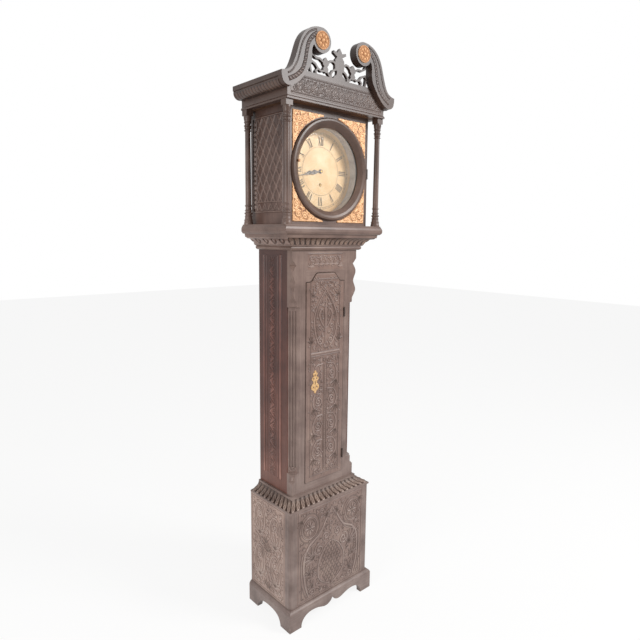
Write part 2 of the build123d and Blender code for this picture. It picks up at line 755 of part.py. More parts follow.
with BuildPart() as corner_spandrels:
    with BuildSketch(elevation(hood_front)) as corners:
        with Locations((0, dial_height)):
            Rectangle(2 * spandrel_half_width, 2 * spandrel_half_height)
            Circle(bezel_radius + spandrel_gap, mode=Mode.SUBTRACT)
            Rectangle(2 * spandrel_half_width + 2, 70, mode=Mode.SUBTRACT)
            Rectangle(70, 2 * spandrel_half_height + 2, mode=Mode.SUBTRACT)
    extrude(amount=spandrel_thickness)
save(corner_spandrels, "corner_spandrels")

bezel_outer, bezel_middle = hinge_zones(dial_height)

with BuildPart() as bezel_hinge_fixed_leaf:
    block(bezel_radius + 1, hood_half_width - 0.5, hood_front, hood_front + leaf_thickness,
          bezel_outer[0][0], bezel_outer[1][1])
    for low, high in bezel_outer:
        block(bezel_axis_x, bezel_axis_x + 1.5, hood_front, bezel_axis_depth, low, high)
        upright(bezel_axis_x, bezel_axis_depth, low, high, knuckle_radius)
    upright(bezel_axis_x, bezel_axis_depth, bezel_outer[0][0], bezel_outer[1][1], hinge_pin_radius)
save(bezel_hinge_fixed_leaf, "bezel_hinge_fixed_leaf")

# Round glazed door of the hood

catch_z = dial_height + catch_rise
seat_depth = bezel_axis_depth - 1.0

with BuildPart() as bezel_ring:
    with BuildSketch(Plane.XY) as ring_profile:
        with BuildLine():
            face = hood_front
            Polyline((bezel_plug_radius, face + shake), (bezel_radius, face + shake), (bezel_radius, face + 6),
                     (174, face + 10), (168, face + 11), (160, face + 8), (152, face + 2), (147, face - 2.5),
                     (145, face - 4), (145, glass_depth + glass_thickness),
                     (glass_radius + 0.5, glass_depth + glass_thickness), (glass_radius + 0.5, 206),
                     (bezel_plug_radius, 206), close=True)
        make_face()
    turned = revolve(axis=Axis.Y, mode=Mode.PRIVATE)
    with Locations(Location((0, back_y, dial_height), (0, 0, 0))):
        add(turned.mirror(Plane.XZ))
    block(172, bezel_radius + 1, seat_depth, face + 12, bezel_outer[0][0] - 0.2, bezel_outer[1][1] + 0.2,
          mode=Mode.SUBTRACT)
    rod(catch_x, catch_z, 205, face + 12, catch_shaft_radius + fit, mode=Mode.SUBTRACT)
save(bezel_ring, "bezel_ring")

with BuildPart() as bezel_glass:
    rod(0, dial_height, glass_depth, glass_depth + glass_thickness, glass_radius)
save(bezel_glass, "bezel_glass")

with BuildPart() as bezel_hinge_leaf:
    low, high = bezel_middle
    block(172.5, bezel_radius + 0.2, seat_depth, seat_depth + 1.5, bezel_outer[0][0], bezel_outer[1][1])
    block(bezel_radius, bezel_axis_x, seat_depth, seat_depth + 1.5, low, high)
    upright(bezel_axis_x, bezel_axis_depth, low, high, knuckle_radius)
    upright(bezel_axis_x, bezel_axis_depth, low - 1, high + 1, hinge_pin_radius + fit, mode=Mode.SUBTRACT)
save(bezel_hinge_leaf, "bezel_hinge_leaf")

with BuildPart() as bezel_catch:
    tongue_front = hood_panel_back - tongue_gap
    knob_back = hood_front + 9.0
    rod(catch_x, catch_z, tongue_front - tongue_thickness, knob_back + 1, catch_shaft_radius)
    block(catch_x - tongue_half_width, catch_x + tongue_half_width, tongue_front - tongue_thickness,
          tongue_front, catch_z - tongue_length, catch_z)
    rod(catch_x, catch_z, tongue_front - tongue_thickness, tongue_front, tongue_half_width)
    rod(catch_x, catch_z, knob_back, knob_back + 6, catch_knob_radius)
    fillet(bezel_catch.edges().sort_by(Axis.Y)[0], radius=2)
save(bezel_catch, "bezel_catch")

# Trunk door, its key plate and its lock

bolt_start = -door_half_width + 0.5

with BuildPart() as trunk_door:
    board(door_outline(), door_back, door_face)
    rod(key_x, key_z, door_back - 1, door_face + 1, 3, mode=Mode.SUBTRACT)
    block(key_x - 1.5, key_x + 1.5, door_back - 1, door_face + 1, key_z - 10, key_z, mode=Mode.SUBTRACT)
save(trunk_door, "trunk_door")

with BuildPart() as key_escutcheon:
    with BuildSketch(elevation(door_face)) as plate:
        half = [(0, 45), (4, 43), (5, 39), (3, 36), (9, 36), (12, 31), (8, 26), (7, 21), (14, 19), (17, 13),
                (13, 7), (9, 4), (9, -4), (14, -8), (19, -14), (19, -24), (12, -31), (6, -34), (4, -40), (0, -45)]
        Polygon(*[(key_x + x, key_z + z) for x, z in half],
                *[(key_x - x, key_z + z) for x, z in reversed(half[1:-1])], align=None)
        with Locations((key_x, key_z)):
            Circle(3, mode=Mode.SUBTRACT)
        with Locations((key_x, key_z - 5)):
            Rectangle(3, 10, mode=Mode.SUBTRACT)
        with Locations((key_x - 8, key_z - 19), (key_x + 8, key_z - 19), (key_x - 7, key_z + 14),
                       (key_x + 7, key_z + 14), (key_x, key_z + 27)):
            Circle(3.2, mode=Mode.SUBTRACT)
    extrude(amount=key_plate_thickness)
save(key_escutcheon, "key_escutcheon")

with BuildPart() as lock_case:
    block(-door_half_width, key_x + 10, door_back - lock_case_thickness, door_back,
          key_z - lock_case_height / 2, key_z + lock_case_height / 2)
    block(-door_half_width - 1, bolt_start + bolt_length + 0.5, bolt_depth - bolt_thickness / 2 - bolt_fit,
          bolt_depth + bolt_thickness / 2 + bolt_fit, key_z - bolt_height / 2 - bolt_fit,
          key_z + bolt_height / 2 + bolt_fit, mode=Mode.SUBTRACT)
save(lock_case, "lock_case")

with BuildPart() as lock_bolt:
    block(bolt_start, bolt_start + bolt_length, bolt_depth - bolt_thickness / 2,
          bolt_depth + bolt_thickness / 2, key_z - bolt_height / 2, key_z + bolt_height / 2)
save(lock_bolt, "lock_bolt")

# Going train and hands, with every wheel meshed at rest


def facing(x0, z0, x1, z1):
    """The direction from one arbor to the next."""
    return math.atan2(z1 - z0, x1 - x0)


def gap_towards(direction, leaves):
    """The phase that puts a gap of a pinion towards the wheel it meets."""
    return direction + math.pi + math.pi / leaves


def arbor(x, z, radius):
    """A spindle between the plates, with a pivot in each plate."""
    rod(x, z, train_back + shake, front_plate_depth - shake, radius)
    rod(x, z, plate_depth, front_plate_face, pivot_radius)


centre_back = train_back + 3
centre_pinion_back = front_plate_depth - 17
hour_back = front_plate_face + 6.5
cannon_back = front_plate_face + 2
cannon_front = dial_face + 6
hand_depth = dial_face + 1.5

with BuildPart() as centre_wheel:
    arbor(0, dial_height, arbor_radius)
    rod(0, dial_height, front_plate_depth - shake, cannon_front, front_pivot_radius)
    to_third = facing(0, dial_height, third_x, third_z)
    toothed(0, dial_height, centre_teeth, centre_module, centre_back, centre_back + wheel_thickness,
            to_third, wheel_shape)
    crossings(0, dial_height, centre_back, centre_back + wheel_thickness, 7, 21, 4, 4)
    toothed(0, dial_height, centre_leaves, great_module, centre_pinion_back, centre_pinion_back + 8,
            gap_towards(math.pi / 2, centre_leaves), pinion_shape)
save(centre_wheel, "centre_wheel")

with BuildPart() as cannon_pinion:
    rod(0, dial_height, cannon_back, cannon_front, cannon_radius)
    toothed(0, dial_height, motion_teeth, motion_module, cannon_back, cannon_back + wheel_thickness,
            0, wheel_shape)
    rod(0, dial_height, cannon_back - 1, cannon_front + 1, front_pivot_radius, mode=Mode.SUBTRACT)
save(cannon_pinion, "cannon_pinion")


def hand(outline, angle, depth, thickness, hole, openings):
    """A flat hand drawn upwards from its hub, then turned clockwise to its angle."""
    turn = math.radians(angle)

    def placed(x, z):
        return (x * math.cos(turn) + z * math.sin(turn), dial_height - x * math.sin(turn) + z * math.cos(turn))

    points = [placed(x, z) for x, z in outline] + [placed(-x, z) for x, z in reversed(outline)]
    with BuildSketch(elevation(depth)) as flat:
        Polygon(*points, align=None)
        with Locations((0, dial_height)):
            Circle(hole + 3)
            Circle(hole, mode=Mode.SUBTRACT)
        for z, radius in openings:
            with Locations(placed(0, z)):
                Circle(radius, mode=Mode.SUBTRACT)
    extrude(flat.sketch, amount=thickness)


with BuildPart() as minute_hand:
    reach = minute_hand_length
    hand([(2, 2), (1.8, 20), (5.5, 28), (6.5, 36), (4, 44), (2, 50), (3.8, 56), (4.2, 62), (1.8, 70), (1.5, 85),
          (1.1, reach - 8), (0.4, reach)], minute_hand_angle, hand_depth + 3.1, 1.2, cannon_radius,
         ((36, 3.4), (59, 1.6)))
save(minute_hand, "minute_hand")

with BuildPart() as hour_wheel:
    rod(0, dial_height, hour_back - 1, hand_depth + 2, hour_pipe_radius)
    toothed(0, dial_height, hour_teeth, hour_module, hour_back, hour_back + wheel_thickness, 0, wheel_shape)
    crossings(0, dial_height, hour_back, hour_back + wheel_thickness, 9, 25, 4, 4)
    rod(0, dial_height, hour_back - 2, hand_depth + 3, cannon_radius + fit, mode=Mode.SUBTRACT)
save(hour_wheel, "hour_wheel")

with BuildPart() as hour_hand:
    reach = hour_hand_length
    hand([(2.5, 3), (2, 16), (7, 24), (8, 31), (5, 38), (2.2, 42), (6, 49), (6.5, 55), (3, 62), (1.4, 66),
          (0.4, reach)], hour_hand_angle, hand_depth, 1.4, hour_pipe_radius, ((31, 4.4), (53, 3)))
save(hour_hand, "hour_hand")

with BuildPart() as minute_wheel:
    toothed(minute_wheel_x, dial_height, motion_teeth, motion_module, cannon_back,
            cannon_back + wheel_thickness, gap_towards(0, motion_teeth), wheel_shape)
    toothed(minute_wheel_x, dial_height, minute_leaves, hour_module, cannon_back + wheel_thickness,
            hour_back + 4, gap_towards(0, minute_leaves), pinion_shape)
    rod(minute_wheel_x, dial_height, cannon_back - 1, hour_back + 5, pivot_radius + fit, mode=Mode.SUBTRACT)
save(minute_wheel, "minute_wheel")

great_back = centre_pinion_back + 3

with BuildPart() as great_wheel:
    toothed(0, barrel_z, great_teeth, great_module, great_back, great_back + wheel_thickness,
            math.pi / 2, wheel_shape)
    crossings(0, barrel_z, great_back, great_back + wheel_thickness, 27, 38, 4, 6, 45)
    rod(0, barrel_z, great_back - 1, great_back + wheel_thickness + 1, winding_arbor_radius + fit,
        mode=Mode.SUBTRACT)
    block(19.5, 25, great_back - 4, great_back, barrel_z - 2, barrel_z + 5)
save(great_wheel, "great_wheel")

with BuildPart() as third_wheel:
    arbor(third_x, third_z, front_pivot_radius)
    third_back = train_back + 36
    to_escape = facing(third_x, third_z, 0, escape_z)
    toothed(third_x, third_z, third_teeth, third_module, third_back, third_back + wheel_thickness,
            to_escape, wheel_shape)
    crossings(third_x, third_z, third_back, third_back + wheel_thickness, 6, 18.5, 4, 3.5)
    toothed(third_x, third_z, third_leaves, centre_module, train_back + 1, train_back + 8,
            gap_towards(to_third, third_leaves), pinion_shape)
save(third_wheel, "third_wheel")

escape_back = plate_depth + 11

with BuildPart() as escape_wheel:
    arbor(0, escape_z, front_pivot_radius)
    points = []
    for tooth in range(escape_teeth):
        start = 2 * math.pi * tooth / escape_teeth
        for radius, turn in ((16.5, -0.045), (escape_radius, 0.045), (escape_radius, 0.06), (16.5, 0.03)):
            points.append((radius * math.cos(start + turn), escape_z + radius * math.sin(start + turn)))
    board(points, escape_back, escape_back + wheel_thickness)
    crossings(0, escape_z, escape_back, escape_back + wheel_thickness, 5, 14, 4, 2.5)
    toothed(0, escape_z, escape_leaves, third_module, third_back - 3, third_back + 5,
            gap_towards(to_escape, escape_leaves), pinion_shape)
save(escape_wheel, "escape_wheel")

# Barrel, gut line, pulley and weight

with BuildPart() as winding_barrel:
    rod(0, barrel_z, train_back + shake, front_plate_depth - shake, winding_arbor_radius)
    rod(0, barrel_z, plate_depth, train_back + shake, arbor_radius)
    rod(0, barrel_z, front_plate_depth - shake, front_plate_face, winding_arbor_radius - shake - fit)
    rod(0, barrel_z, barrel_back, barrel_back + barrel_length, barrel_radius)
    ratchet = []
    for tooth in range(24):
        for radius, turn in ((15.5, 0.0), (18.0, 0.2)):
            angle = (tooth + turn) * math.pi / 12
            ratchet.append((radius * math.cos(angle), barrel_z + radius * math.sin(angle)))
    board(ratchet, barrel_back + barrel_length, barrel_back + barrel_length + 2)
    half = winding_square / 2
    block(-half, half, front_plate_face, dial_face + square_proud, barrel_z - half, barrel_z + half)
save(winding_barrel, "winding_barrel")

with BuildPart() as line_pulley:
    groove = line_radius + 0.7
    with BuildSketch(Plane.XY) as pulley_profile:
        with BuildLine():
            Polyline((0, -pulley_thickness / 2), (pulley_radius, -pulley_thickness / 2),
                     (pulley_radius, -groove - 1), (groove_radius, -groove), (groove_radius, groove),
                     (pulley_radius, groove + 1), (pulley_radius, pulley_thickness / 2),
                     (0, pulley_thickness / 2), close=True)
        make_face()
    sheave = revolve(axis=Axis.Y, mode=Mode.PRIVATE)
    with Locations((0, at(line_depth), pulley_height)):
        add(sheave)
    rod(0, pulley_height, line_depth - 10, line_depth + 10, front_pivot_radius + fit, mode=Mode.SUBTRACT)
save(line_pulley, "line_pulley")

with BuildPart() as gut_line:
    upright(-line_x, line_depth, pulley_height, barrel_z, line_radius)
    upright(line_x, line_depth, pulley_height, seat_bottom, line_radius)
    with BuildSketch(Plane(origin=(line_x, at(line_depth), pulley_height), z_dir=(0, 0, -1))) as section:
        Circle(line_radius)
    revolve(section.sketch, axis=Axis((0, at(line_depth), pulley_height), (0, 1, 0)), revolution_arc=180)
save(gut_line, "gut_line")

with BuildPart() as pulley_stirrup:
    inner = pulley_thickness / 2 + 2
    yoke_top = weight_top + 15
    block(-6, 6, line_depth - inner - 2, line_depth + inner + 2, yoke_top - 4, yoke_top)
    block(-6, 6, line_depth - inner - 2, line_depth - inner, yoke_top, pulley_height + 8)
    block(-6, 6, line_depth + inner, line_depth + inner + 2, yoke_top, pulley_height + 8)
    rod(0, pulley_height, line_depth - inner, line_depth + inner, front_pivot_radius)
save(pulley_stirrup, "pulley_stirrup")

with BuildPart() as weight:
    upright(0, line_depth, weight_top - weight_length, weight_top, weight_radius)
    fillet(weight.edges(), radius=5)
    upright(0, line_depth, weight_top, yoke_top - 4, winding_arbor_radius)
save(weight, "weight")

# Pallets and pendulum

crutch_depth = cock_back + 4.5

with BuildPart() as pallet_anchor:
    rod(0, pallet_z, cock_back + plate_thickness + shake, front_plate_depth - shake, arbor_radius)
    rod(0, pallet_z, cock_back, front_plate_face, pivot_radius)
    anchor = [(0, 5), (9, 1), (14, -5), (17, -12), (15.2, -13), (11, -8), (5, -4), (0, -4)]
    board([(x, pallet_z + z) for x, z in anchor] + [(-x, pallet_z + z) for x, z in reversed(anchor[1:-1])],
          escape_back - 0.5, escape_back + 2.5)
    crutch_foot = barrel_z - 9
    block(-2, 2, crutch_depth, crutch_depth + 2, crutch_foot, pallet_z)
    block(-5, 5, crutch_depth, crutch_depth + 2, crutch_foot - 3, crutch_foot + 3)
    for side in (-1, 1):
        block(side * 3, side * 5, pendulum_depth - 7, crutch_depth, crutch_foot - 3, crutch_foot + 3)
save(pallet_anchor, "pallet_anchor")

with BuildPart() as pendulum_rod:
    block(-0.2, 0.2, pendulum_depth - 5, pendulum_depth + 5, pallet_z - 14, pallet_z + 3.2)
    block(-4, 4, pendulum_depth - 5, pendulum_depth + 5, pallet_z - 22, pallet_z - 14)
    upright(0, pendulum_depth, rod_end, pallet_z - 22, rod_radius)
save(pendulum_rod, "pendulum_rod")

with BuildPart() as pendulum_bob:
    dome = (bob_radius ** 2 + (bob_thickness / 2) ** 2) / bob_thickness
    with BuildSketch(Plane.XY) as half_lens:
        with BuildLine():
            ThreePointArc((bob_radius, 0),
                          (dome * math.sin(0.2), bob_thickness / 2 - dome * (1 - math.cos(0.2))),
                          (0, bob_thickness / 2))
            Line((0, bob_thickness / 2), (0, 0))
            Line((0, 0), (bob_radius, 0))
        make_face()
    lens = revolve(axis=Axis.Y, mode=Mode.PRIVATE)
    with Locations((0, at(pendulum_depth), bob_height)):
        add(lens)
        add(lens.mirror(Plane.XZ))
    upright(0, pendulum_depth, bob_height - 60, bob_height + 60, rod_radius, mode=Mode.SUBTRACT)
save(pendulum_bob, "pendulum_bob")

with BuildPart() as rating_nut:
    nut_top = bob_height - bob_radius - shake
    upright(0, pendulum_depth, nut_top - 8, nut_top, nut_radius)
    upright(0, pendulum_depth, nut_top - 9, nut_top + 1, rod_radius, mode=Mode.SUBTRACT)
save(rating_nut, "rating_nut")
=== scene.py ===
import math

import bpy
import numpy as np
from mathutils import Matrix, Vector


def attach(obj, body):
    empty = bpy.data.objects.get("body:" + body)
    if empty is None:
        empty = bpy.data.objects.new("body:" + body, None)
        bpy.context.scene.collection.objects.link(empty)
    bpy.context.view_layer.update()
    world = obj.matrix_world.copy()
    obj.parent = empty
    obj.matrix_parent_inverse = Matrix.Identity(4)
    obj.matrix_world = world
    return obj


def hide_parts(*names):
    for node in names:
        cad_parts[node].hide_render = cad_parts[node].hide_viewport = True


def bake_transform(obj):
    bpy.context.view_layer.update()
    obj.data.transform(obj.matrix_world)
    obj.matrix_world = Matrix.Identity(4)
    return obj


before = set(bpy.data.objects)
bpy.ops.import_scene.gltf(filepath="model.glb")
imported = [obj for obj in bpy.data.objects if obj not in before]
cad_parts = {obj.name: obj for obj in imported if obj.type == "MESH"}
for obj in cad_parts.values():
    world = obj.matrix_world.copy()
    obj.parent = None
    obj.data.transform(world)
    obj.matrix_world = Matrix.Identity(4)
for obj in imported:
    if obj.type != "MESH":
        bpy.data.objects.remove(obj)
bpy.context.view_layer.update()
MM = 0.001

# Where the clock stands: depths are counted forwards from the flat back, heights from the floor
BACK_Y = 145.5
CLOCK_HEIGHT = 2150.0
DIAL_HEIGHT = 1712.0
# Faces that carry ornament: half widths from the middle line, and depths
BASE_HALF, BASE_FACE = 205.5, 254.5
TRUNK_HALF, TRUNK_FACE = 158.5, 203.5
DOOR_FACE = 205.5
HOOD_HALF = 190.0
FRIEZE_FACE = 262.0
SCROLL_FACE = 281.0
PANEL_FOOT = 82.5
SIDES = (("left", -1), ("right", 1))

PHOTO_FOCAL_PX = 535.4
PHOTO_WIDTH_PX = 640.0
SENSOR_MM = 36.0
CAMERA_AT = (-1338.0, -1537.5, 1477.0)
CAMERA_YAW = math.radians(41.56)
CAMERA_PITCH = math.radians(8.87)
CAMERA_ROLL = math.radians(0.62)

rng = np.random.default_rng(8)


def at(depth):
    """The Y, in millimetres, of a plane this far in front of the flat back."""
    return BACK_Y - depth


# Colour and shader nodes

def linear(colour):
    """An sRGB hex colour as the linear RGBA that a shader takes."""
    parts = [int(colour[i:i + 2], 16) / 255 for i in (1, 3, 5)]
    return tuple(c / 12.92 if c <= 0.04045 else ((c + 0.055) / 1.055) ** 2.4 for c in parts) + (1.0,)


def feed(tree, node, inputs):
    """Sets a node's values, and links the sockets, or the first sockets of the nodes, that feed it."""
    for name, value in inputs.items():
        if isinstance(value, bpy.types.Node):
            value = value.outputs[0]
        if isinstance(value, bpy.types.NodeSocket):
            tree.links.new(value, node.inputs[name])
        else:
            node.inputs[name].default_value = value


def add_node(tree, kind, inputs, stops=(), **settings):
    """One shader node with its settings, values and links, and a ramp's (position, hex colour) stops."""
    made = tree.nodes.new(kind)
    for name, value in settings.items():
        setattr(made, name, value)
    feed(tree, made, inputs)
    for number, (position, colour) in enumerate(stops):
        elements = made.color_ramp.elements
        stop = elements[number] if number < 2 else elements.new(position)
        stop.position = position
        stop.color = linear(colour)
    return made


def new_finish(name, **values):
    """A material with its Principled shader's own sockets set."""
    material = bpy.data.materials.new(name)
    material.use_nodes = True
    tree = material.node_tree
    shader = tree.nodes["Principled BSDF"]
    feed(tree, shader, {socket.replace("_", " "): value for socket, value in values.items()})
    return material, tree, shader


# Height in metres and tint: painted shade that darkens the case towards its top
PAINTED_SHADE_BY_HEIGHT = ((0.0, "#ffffff"), (1.0, "#f3ebe7"), (1.5, "#dfd0c7"), (1.85, "#a69388"), (2.05, "#74635a"))
# The trunk's sides: a redder tint, with painted shade that is deepest under the hood
SIDE_RED_TINT_AND_PAINTED_SHADE = ((0.0, "#ffffff"), (0.5, "#e0c3bb"), (1.0, "#a98177"), (1.45, "#87645b"), (2.15, "#a08a82"))


def oiled_oak(name, along, dark, middle, light, ground_shade=None, height_shade=PAINTED_SHADE_BY_HEIGHT, gloss=0.4):
    """Old oak, stained, then waxed and rubbed: dark in the pores, with painted shade in the carved hollows and a
    height ramp of painted shade; raised work keeps its full colour.
    """
    material, tree, shader = new_finish(name, Roughness=gloss, IOR=1.5, Specular_IOR_Level=0.36,
                                        Coat_Weight=0.1, Coat_Roughness=0.4)
    where = add_node(tree, "ShaderNodeTexCoord", {}).outputs["Object"]
    # Grain lines about 4 mm apart and 150 mm long, coarser than real oak so that they show
    stretch = [1 / (4 * MM)] * 3
    stretch["XYZ".index(along)] = 1 / (150 * MM)
    grain_space = add_node(tree, "ShaderNodeMapping", {"Vector": where, "Scale": stretch})
    grain = add_node(tree, "ShaderNodeTexNoise", {
        "Vector": grain_space, "Scale": 1.0, "Detail": 6.0, "Roughness": 0.62, "Distortion": 0.25})
    # Wax and wear in patches about 90 mm wide
    wear = add_node(tree, "ShaderNodeTexNoise", {
        "Vector": where, "Scale": 1 / (90 * MM), "Detail": 5.0, "Roughness": 0.6})
    patches = add_node(tree, "ShaderNodeMath", {0: wear, 1: 0.65}, operation="MULTIPLY")
    tone = add_node(tree, "ShaderNodeMath", {0: grain, 1: 0.35, 2: patches}, operation="MULTIPLY_ADD")
    # The height ramp paints shade into the wood colour, deepening towards the top
    rise = add_node(tree, "ShaderNodeSeparateXYZ", {0: where}).outputs["Z"]
    top = CLOCK_HEIGHT * MM
    share = add_node(tree, "ShaderNodeMapRange", {"Value": rise, "From Max": top})
    ramps = [(tone, [(0.34, dark), (0.5, middle), (0.68, light)]),
             (share, [(height / top, colour) for height, colour in height_shade])]
    roughened = grain
    if ground_shade:
        depth = add_node(tree, "ShaderNodeAttribute", {}, attribute_name="relief").outputs["Fac"]
        # Painted shade lies dark along the foot of each carved form, and the ground has a little of it
        ramps.append((depth, [(0.0, ground_shade), (0.08, "#85786f"), (0.3, "#a2968f"), (0.62, "#ffffff")]))
        # Punch marks about 3 mm across in the ground, half as deep on the raised work
        punched = add_node(tree, "ShaderNodeTexVoronoi", {"Vector": where, "Scale": 1 / (3 * MM)})
        level = add_node(tree, "ShaderNodeMapRange", {
            "Value": depth, "From Max": 0.75, "To Min": 1.0, "To Max": 2.0})
        roughened = add_node(tree, "ShaderNodeMath", {0: punched, 1: level}, operation="DIVIDE")
    colour = None
    for factor, stops in ramps:
        layer = add_node(tree, "ShaderNodeValToRGB", {"Fac": factor}, stops)
        colour = layer if colour is None else add_node(
            tree, "ShaderNodeMix", {0: 1.0, 6: colour, 7: layer}, data_type="RGBA", blend_type="MULTIPLY").outputs[2]
    bump = add_node(tree, "ShaderNodeBump", {"Strength": 0.3, "Distance": 0.5 * MM, "Height": roughened})
    feed(tree, shader, {"Base Color": colour, "Normal": bump})
    return material


def pressed_gilt_brass(name, hollow, middle, high, metallic):
    """Thin brass pressed or cast in foliage and gilt: darker in its hollows, warm and pale on the raised work."""
    material, tree, shader = new_finish(name, Metallic=metallic, Roughness=0.5)
    where = add_node(tree, "ShaderNodeTexCoord", {}).outputs["Object"]
    depth = add_node(tree, "ShaderNodeAttribute", {}, attribute_name="relief").outputs["Fac"]
    # Lost gilding in spots about 5 mm across
    spots = add_node(tree, "ShaderNodeTexNoise", {
        "Vector": where, "Scale": 1 / (5 * MM), "Detail": 5.0, "Roughness": 0.65})
    tone = add_node(tree, "ShaderNodeMath", {0: depth, 1: 0.55, 2: spots}, operation="MULTIPLY_ADD")
    colour = add_node(tree, "ShaderNodeValToRGB", {"Fac": tone}, [(0.42, hollow), (0.56, middle), (0.9, high)])
    bump = add_node(tree, "ShaderNodeBump", {"Strength": 0.5, "Distance": 0.3 * MM, "Height": spots})
    feed(tree, shader, {"Base Color": colour, "Normal": bump})
    return material


def aged_dial_enamel():
    """Cream enamel paint on sheet iron, gone yellow in faint clouds about 60 mm wide, with a fine crackle."""
    material, tree, shader = new_finish("aged_dial_enamel", Roughness=0.4, IOR=1.5)
    where = add_node(tree, "ShaderNodeTexCoord", {}).outputs["Object"]
    clouds = add_node(tree, "ShaderNodeTexNoise", {
        "Vector": where, "Scale": 1 / (60 * MM), "Detail": 5.0, "Roughness": 0.6})
    colour = add_node(tree, "ShaderNodeValToRGB", {"Fac": clouds},
                      [(0.3, "#e0b67c"), (0.5, "#ecc690"), (0.7, "#f4d8ac")])
    crackle = add_node(tree, "ShaderNodeTexVoronoi", {"Vector": where, "Scale": 1 / (7 * MM)},
                       feature="DISTANCE_TO_EDGE")
    bump = add_node(tree, "ShaderNodeBump", {"Strength": 0.15, "Distance": 0.1 * MM, "Height": crackle})
    feed(tree, shader, {"Base Color": colour, "Normal": bump})
    return material


def patchy_finish(name, low, high, patch, detail=6.0, clean_from=0.65, pit=(0.3, 0.2), **values):
    """A metal, paint or cord finish that varies between two colours in patches of a width in millimetres.

    pit is how strongly and how deeply, in millimetres, the patches roughen it.
    """
    material, tree, shader = new_finish(name, **values)
    where = add_node(tree, "ShaderNodeTexCoord", {}).outputs["Object"]
    patches = add_node(tree, "ShaderNodeTexNoise", {
        "Vector": where, "Scale": 1 / (patch * MM), "Detail": detail, "Roughness": 0.6})
    colour = add_node(tree, "ShaderNodeValToRGB", {"Fac": patches}, [(0.35, low), (clean_from, high)])
    bump = add_node(tree, "ShaderNodeBump", {"Strength": pit[0], "Distance": pit[1] * MM, "Height": patches})
    feed(tree, shader, {"Base Color": colour, "Normal": bump})
    return material


# Oak by its place on the case, some faces lighter or darker as painted light and shade: grain direction, then dark,
# middle and light, then the painted shade on the carved ground
oak_front = ("#62524c", "#7d6c66", "#95857e")
front_upright = oiled_oak("waxed_oak_upright", "Z", *oak_front)
front_level = oiled_oak("waxed_oak_level", "X", *oak_front)
front_carved = oiled_oak("carved_oak_front", "Z", "#78665f", "#92807a", "#aa9990", "#e4dcd8")
# A lighter copy of the carved oak for the base's sides: painted light
lit_base_side_carved = oiled_oak("carved_base_side_oak_painted_light", "Z", "#917e76", "#b09c93", "#c6b3a9", "#e6deda")
# Its dark ground colour is painted shade in the deep hollows of the leaf rows and bosses
deep_carved = oiled_oak("deeply_carved_oak", "Z", "#7b6a63", "#968379", "#b09e92", "#6a5a54")
# A darker, redder copy of the oak for the trunk's sides: painted shade of the sides turned from the light
shaded_side_upright = oiled_oak("reddened_oak_side_painted_shade", "Z", "#5c443c", "#775c53", "#8f7268", height_shade=SIDE_RED_TINT_AND_PAINTED_SHADE)
side_level = oiled_oak("stained_oak_cornice", "Y", "#5f4f4a", "#7a6a64", "#91817a")
# Redder carved oak for the trunk's sides, under the redder tint and painted shade of the side ramp
side_carved = oiled_oak("carved_oak_side", "Z", "#7c6159", "#9e8279", "#c8aca2", "#b5a59f", SIDE_RED_TINT_AND_PAINTED_SHADE)
hood_carved = oiled_oak("carved_oak_hood_side", "Z", "#75625c", "#968580", "#b8a9a4", "#c2b4ae")
bezel_oak = oiled_oak("turned_oak_bezel", "X", "#5a4b45", "#796860", "#8f7e75", gloss=0.36)
rough_pine = oiled_oak("sawn_pine", "Z", "#6e4f36", "#8a6848", "#a88560", gloss=0.7)
# Brass polished once, with tarnish in spots about 8 mm wide
tarnish = {"patch": 8, "detail": 5.0, "clean_from": 0.6, "pit": (0.4, 0.1), "Metallic": 1.0}
movement_brass = patchy_finish("polished_brass_movement", "#94703a", "#c9a25a", Roughness=0.32, **tarnish)
bob_brass = patchy_finish("spun_brass_bob", "#9a743c", "#d0a85c", Roughness=0.28, **tarnish)
gilt = pressed_gilt_brass("pressed_gilt_brass", "#6d4226", "#cf9968", "#ecbd90", 0.2)
rosette_gilt = pressed_gilt_brass("cast_gilt_brass", "#7a4f30", "#b5835a", "#cf9d70", 0.25)
key_plate_brass = pressed_gilt_brass("cast_brass_key_plate", "#b98f5c", "#dcb684", "#e6c698", 0.3)
dial_enamel = aged_dial_enamel()
# Silvering gone dull, steel blued and then greyed, waxed iron, matt paint, sand-cast iron and brown gut
silvered_brass = patchy_finish("silvered_brass_collar", "#a39b97", "#c0b8b4", 30, Metallic=0.1, Roughness=0.4)
blued_steel = patchy_finish("blued_steel", "#4a4642", "#77706b", 12, Metallic=0.8, Roughness=0.5)
hinge_iron = patchy_finish("waxed_hinge_iron", "#3b312d", "#544742", 6, Metallic=0.5, Roughness=0.55)
numeral_paint = patchy_finish("brown_numeral_paint", "#675a4e", "#817364", 5, Roughness=0.85)
cast_iron = patchy_finish("cast_iron_weight", "#1d1c1b", "#2e2c2a", 4, Metallic=0.4, Roughness=0.62)
twisted_gut = patchy_finish("twisted_gut", "#8a6c42", "#b39263", 3, Roughness=0.55)
# Thin old glass: almost clear, with a faint warm tint
window_glass = new_finish("clear_window_glass", Base_Color=(0.95, 0.94, 0.9, 1.0), Roughness=0.04, IOR=1.45,
                          Specular_IOR_Level=0.25, Alpha=0.06)[0]

